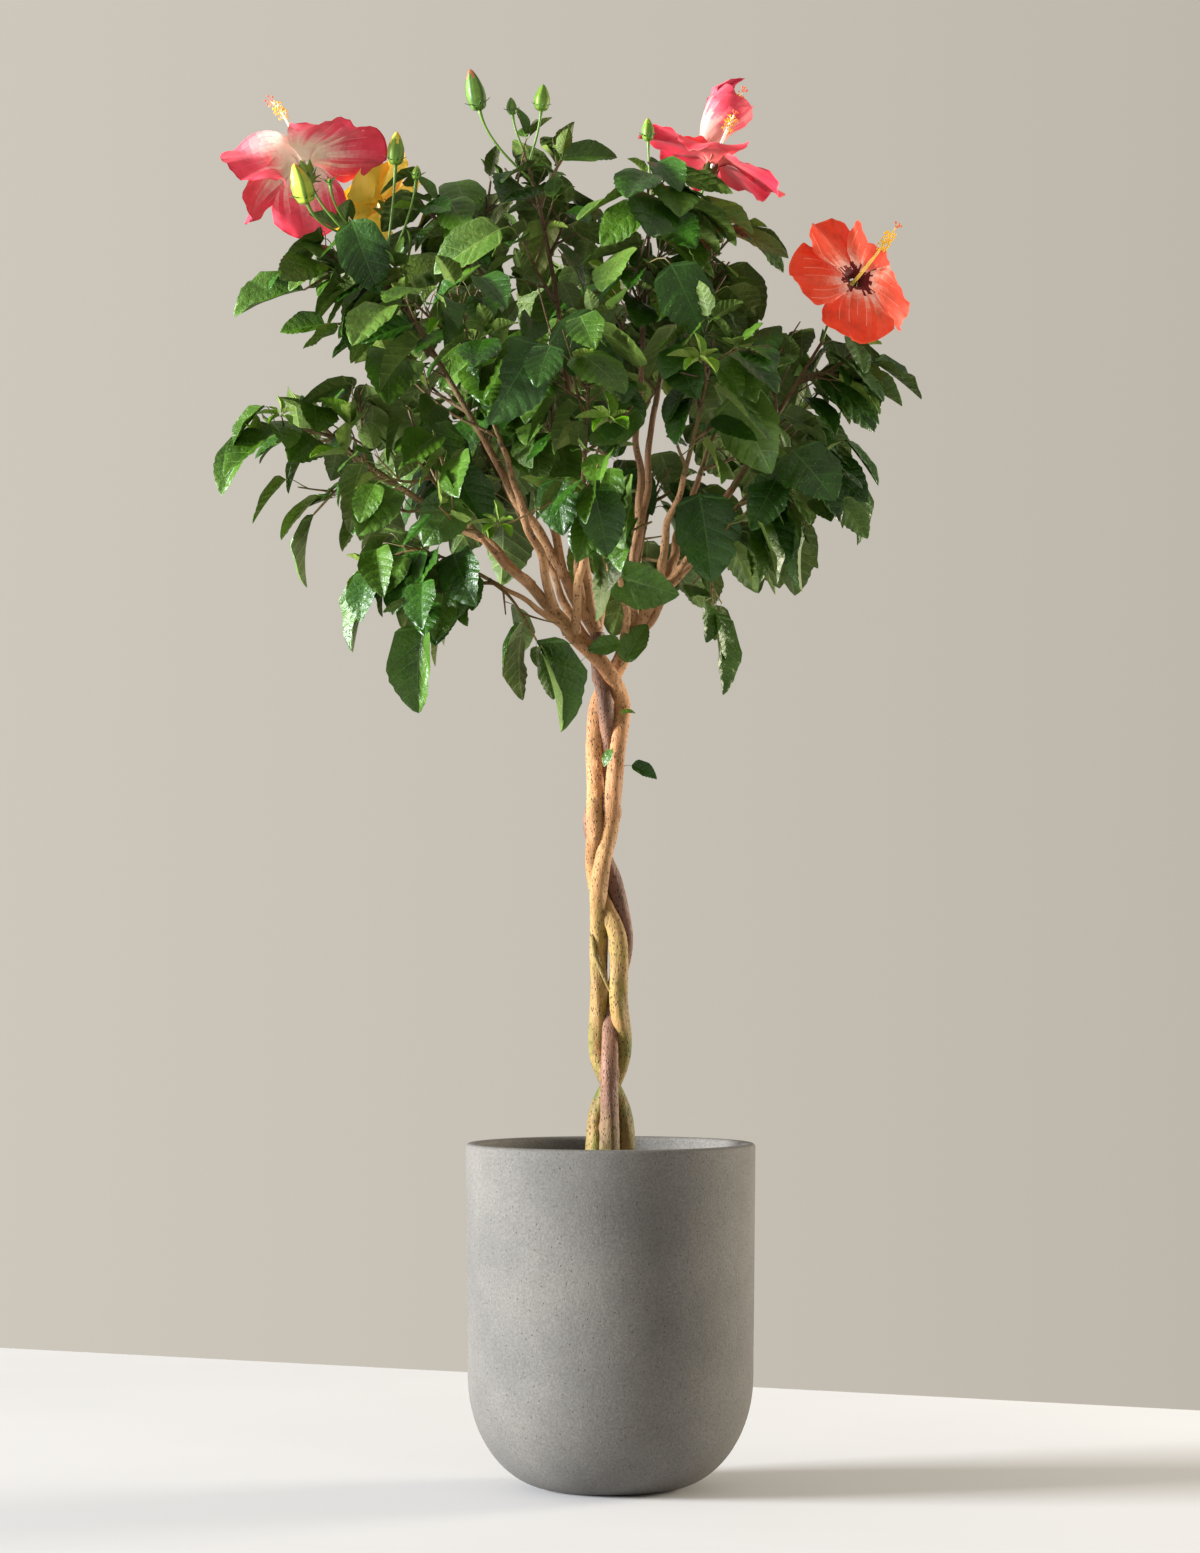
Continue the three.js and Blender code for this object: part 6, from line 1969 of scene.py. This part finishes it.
pot = Pile()
rows = lathe_rows(pot_profile(), POT_MESH.segments)
uneven = np.random.default_rng(POT_SEED).normal(0, POT_MESH.uneven, rows[2:-1].shape[:2])
rows[2:-1] *= 1 + (uneven / POT.rim)[..., None] * (1, 1, 0)
pot.grid(rows, wrap=True, start_point=True, end_point=True)
pot.piece("pot_body", "pot", [pot_material], "pot")

soil_material, tree, shader, coords = new_material("soil_crumbs", roughness=0.95, specular=0.2)
lumps = noise(tree, coords, scale=90, detail=6, roughness=0.7)
colour = ramp(tree, lumps, (0.3, srgb(38, 28, 20)), (0.55, srgb(74, 56, 40)), (0.75, srgb(112, 90, 66)))
tree.links.new(colour, shader.inputs["Base Color"])
bump(tree, shader, lumps, distance=0.002, strength=1)

soil = Pile()
edge = POT.waist - POT.wall - SOIL_MESH.edge_gap
shares = np.linspace(0, 1, SOIL_MESH.rows)
sunk = SOIL.sink * np.maximum(shares - SOIL_MESH.level, 0) / (1 - SOIL_MESH.level)
profile = [*zip(edge * shares, SOIL.top - sunk), (edge, SOIL_MESH.bottom), (0, SOIL_MESH.bottom)]
rows = lathe_rows(profile, SOIL_MESH.segments)
crumbs = np.random.default_rng(SOIL_SEED).normal(0, SOIL_MESH.uneven, rows[1:-2, :, 2].shape)
rows[1:-2, :, 2] += crumbs - SOIL_MESH.settled
soil.grid(rows, wrap=True, start_point=True, end_point=True, flip=True)
soil.piece("soil_fill", "soil", [soil_material], "soil")

# Floor, lights and camera, in metres.

FLOOR_EDGE = [(-0.80, 1.456), (0.71, 0.706)]
FLOOR_SPAN = 9.0
FLOOR_DEPTH = 0.04


def make_floor():
    """A pale slab whose far edge runs at a slant behind the pot."""
    left, right = (vector(*corner) for corner in FLOOR_EDGE)
    edge = unit(right - left)
    ahead = vector(edge[1], -edge[0])
    corners = [left - edge * FLOOR_SPAN, right + edge * FLOOR_SPAN]
    corners += [corners[1] + ahead * FLOOR_SPAN, corners[0] + ahead * FLOOR_SPAN]
    points = [(x, y, z) for z in (0, -FLOOR_DEPTH) for x, y in corners]
    faces = [(3, 2, 1, 0), (4, 5, 6, 7)] + [(i, (i + 1) % 4, (i + 1) % 4 + 4, i + 4) for i in range(4)]
    mesh = bpy.data.meshes.new("floor")
    mesh.from_pydata(points, [], faces)
    floor = bpy.data.objects.new("floor", mesh)
    bpy.context.collection.objects.link(floor)
    material, tree, shader, coords = new_material("floor_pale", roughness=0.92, specular=0.08)
    cloud = noise(tree, coords, scale=1.4)
    colour = ramp(tree, cloud, (0.3, srgb(198, 198, 200)), (0.7, srgb(203, 203, 205)))
    tree.links.new(colour, shader.inputs["Base Color"])
    mesh.materials.append(material)


make_floor()

# A studio's even light, a little brighter on the left as seen from the front.
SKY_EDGE = 0.14
world = bpy.data.worlds.new("studio")
bpy.context.scene.world = world
world.use_nodes = True
world_tree = world.node_tree
place = add_node(world_tree, "ShaderNodeTexCoord").outputs["Generated"]
across = add_node(world_tree, "ShaderNodeSeparateXYZ", {0: place}).outputs[0]
share = rescaled(world_tree, across, -SKY_EDGE, SKY_EDGE)
sky = ramp(world_tree, share, (0.0, srgb(205, 199, 188)), (1.0, srgb(190, 183, 172)))
world_tree.links.new(sky, world_tree.nodes["Background"].inputs["Color"])

LIT = vector(0, 0, 0.6)


def area_light(name, place, size, watts, colour):
    """A rectangular light that faces the trunk's lower half."""
    light = bpy.data.lights.new(name, "AREA")
    light.shape = "RECTANGLE"
    light.size, light.size_y = size
    light.energy = watts
    light.color = colour
    made = bpy.data.objects.new(name, light)
    bpy.context.collection.objects.link(made)
    made.location = place
    heading = unit(LIT - vector(*place))
    made.rotation_euler = (math.acos(-heading[2]), 0, math.atan2(-heading[0], heading[1]))


area_light("key_left", (-13, -2.4, 3.0), size=(5.0, 3.4), watts=6300, colour=(0.97, 0.99, 1.0))
area_light("rim_right", (3.6, 1.5, 0.85), size=(1.4, 1.5), watts=200, colour=(1, 0.9, 0.72))

# The camera, level with the trunk and tilted up to the height of the picture's middle.
CAMERA = SimpleNamespace(x=-0.0109, distance=4.5, height=0.583, focal_px=4338, clip_end=60)
LONG_SIDE_PX = 1553
SENSOR = 36
AIM_HEIGHT = 734.4
TILT = math.atan((AIM_HEIGHT - VIEW.z) / VIEW.distance)

camera_data = bpy.data.cameras.new("camera")
camera_data.sensor_width = SENSOR
camera_data.lens = SENSOR * CAMERA.focal_px / LONG_SIDE_PX
camera_data.clip_end = CAMERA.clip_end
camera = bpy.data.objects.new("camera", camera_data)
bpy.context.collection.objects.link(camera)
camera.location = (CAMERA.x, -CAMERA.distance, CAMERA.height)
camera.rotation_euler = (math.pi / 2 + TILT, 0, 0)
bpy.context.scene.camera = camera
bpy.context.scene.view_settings.view_transform = "Standard"
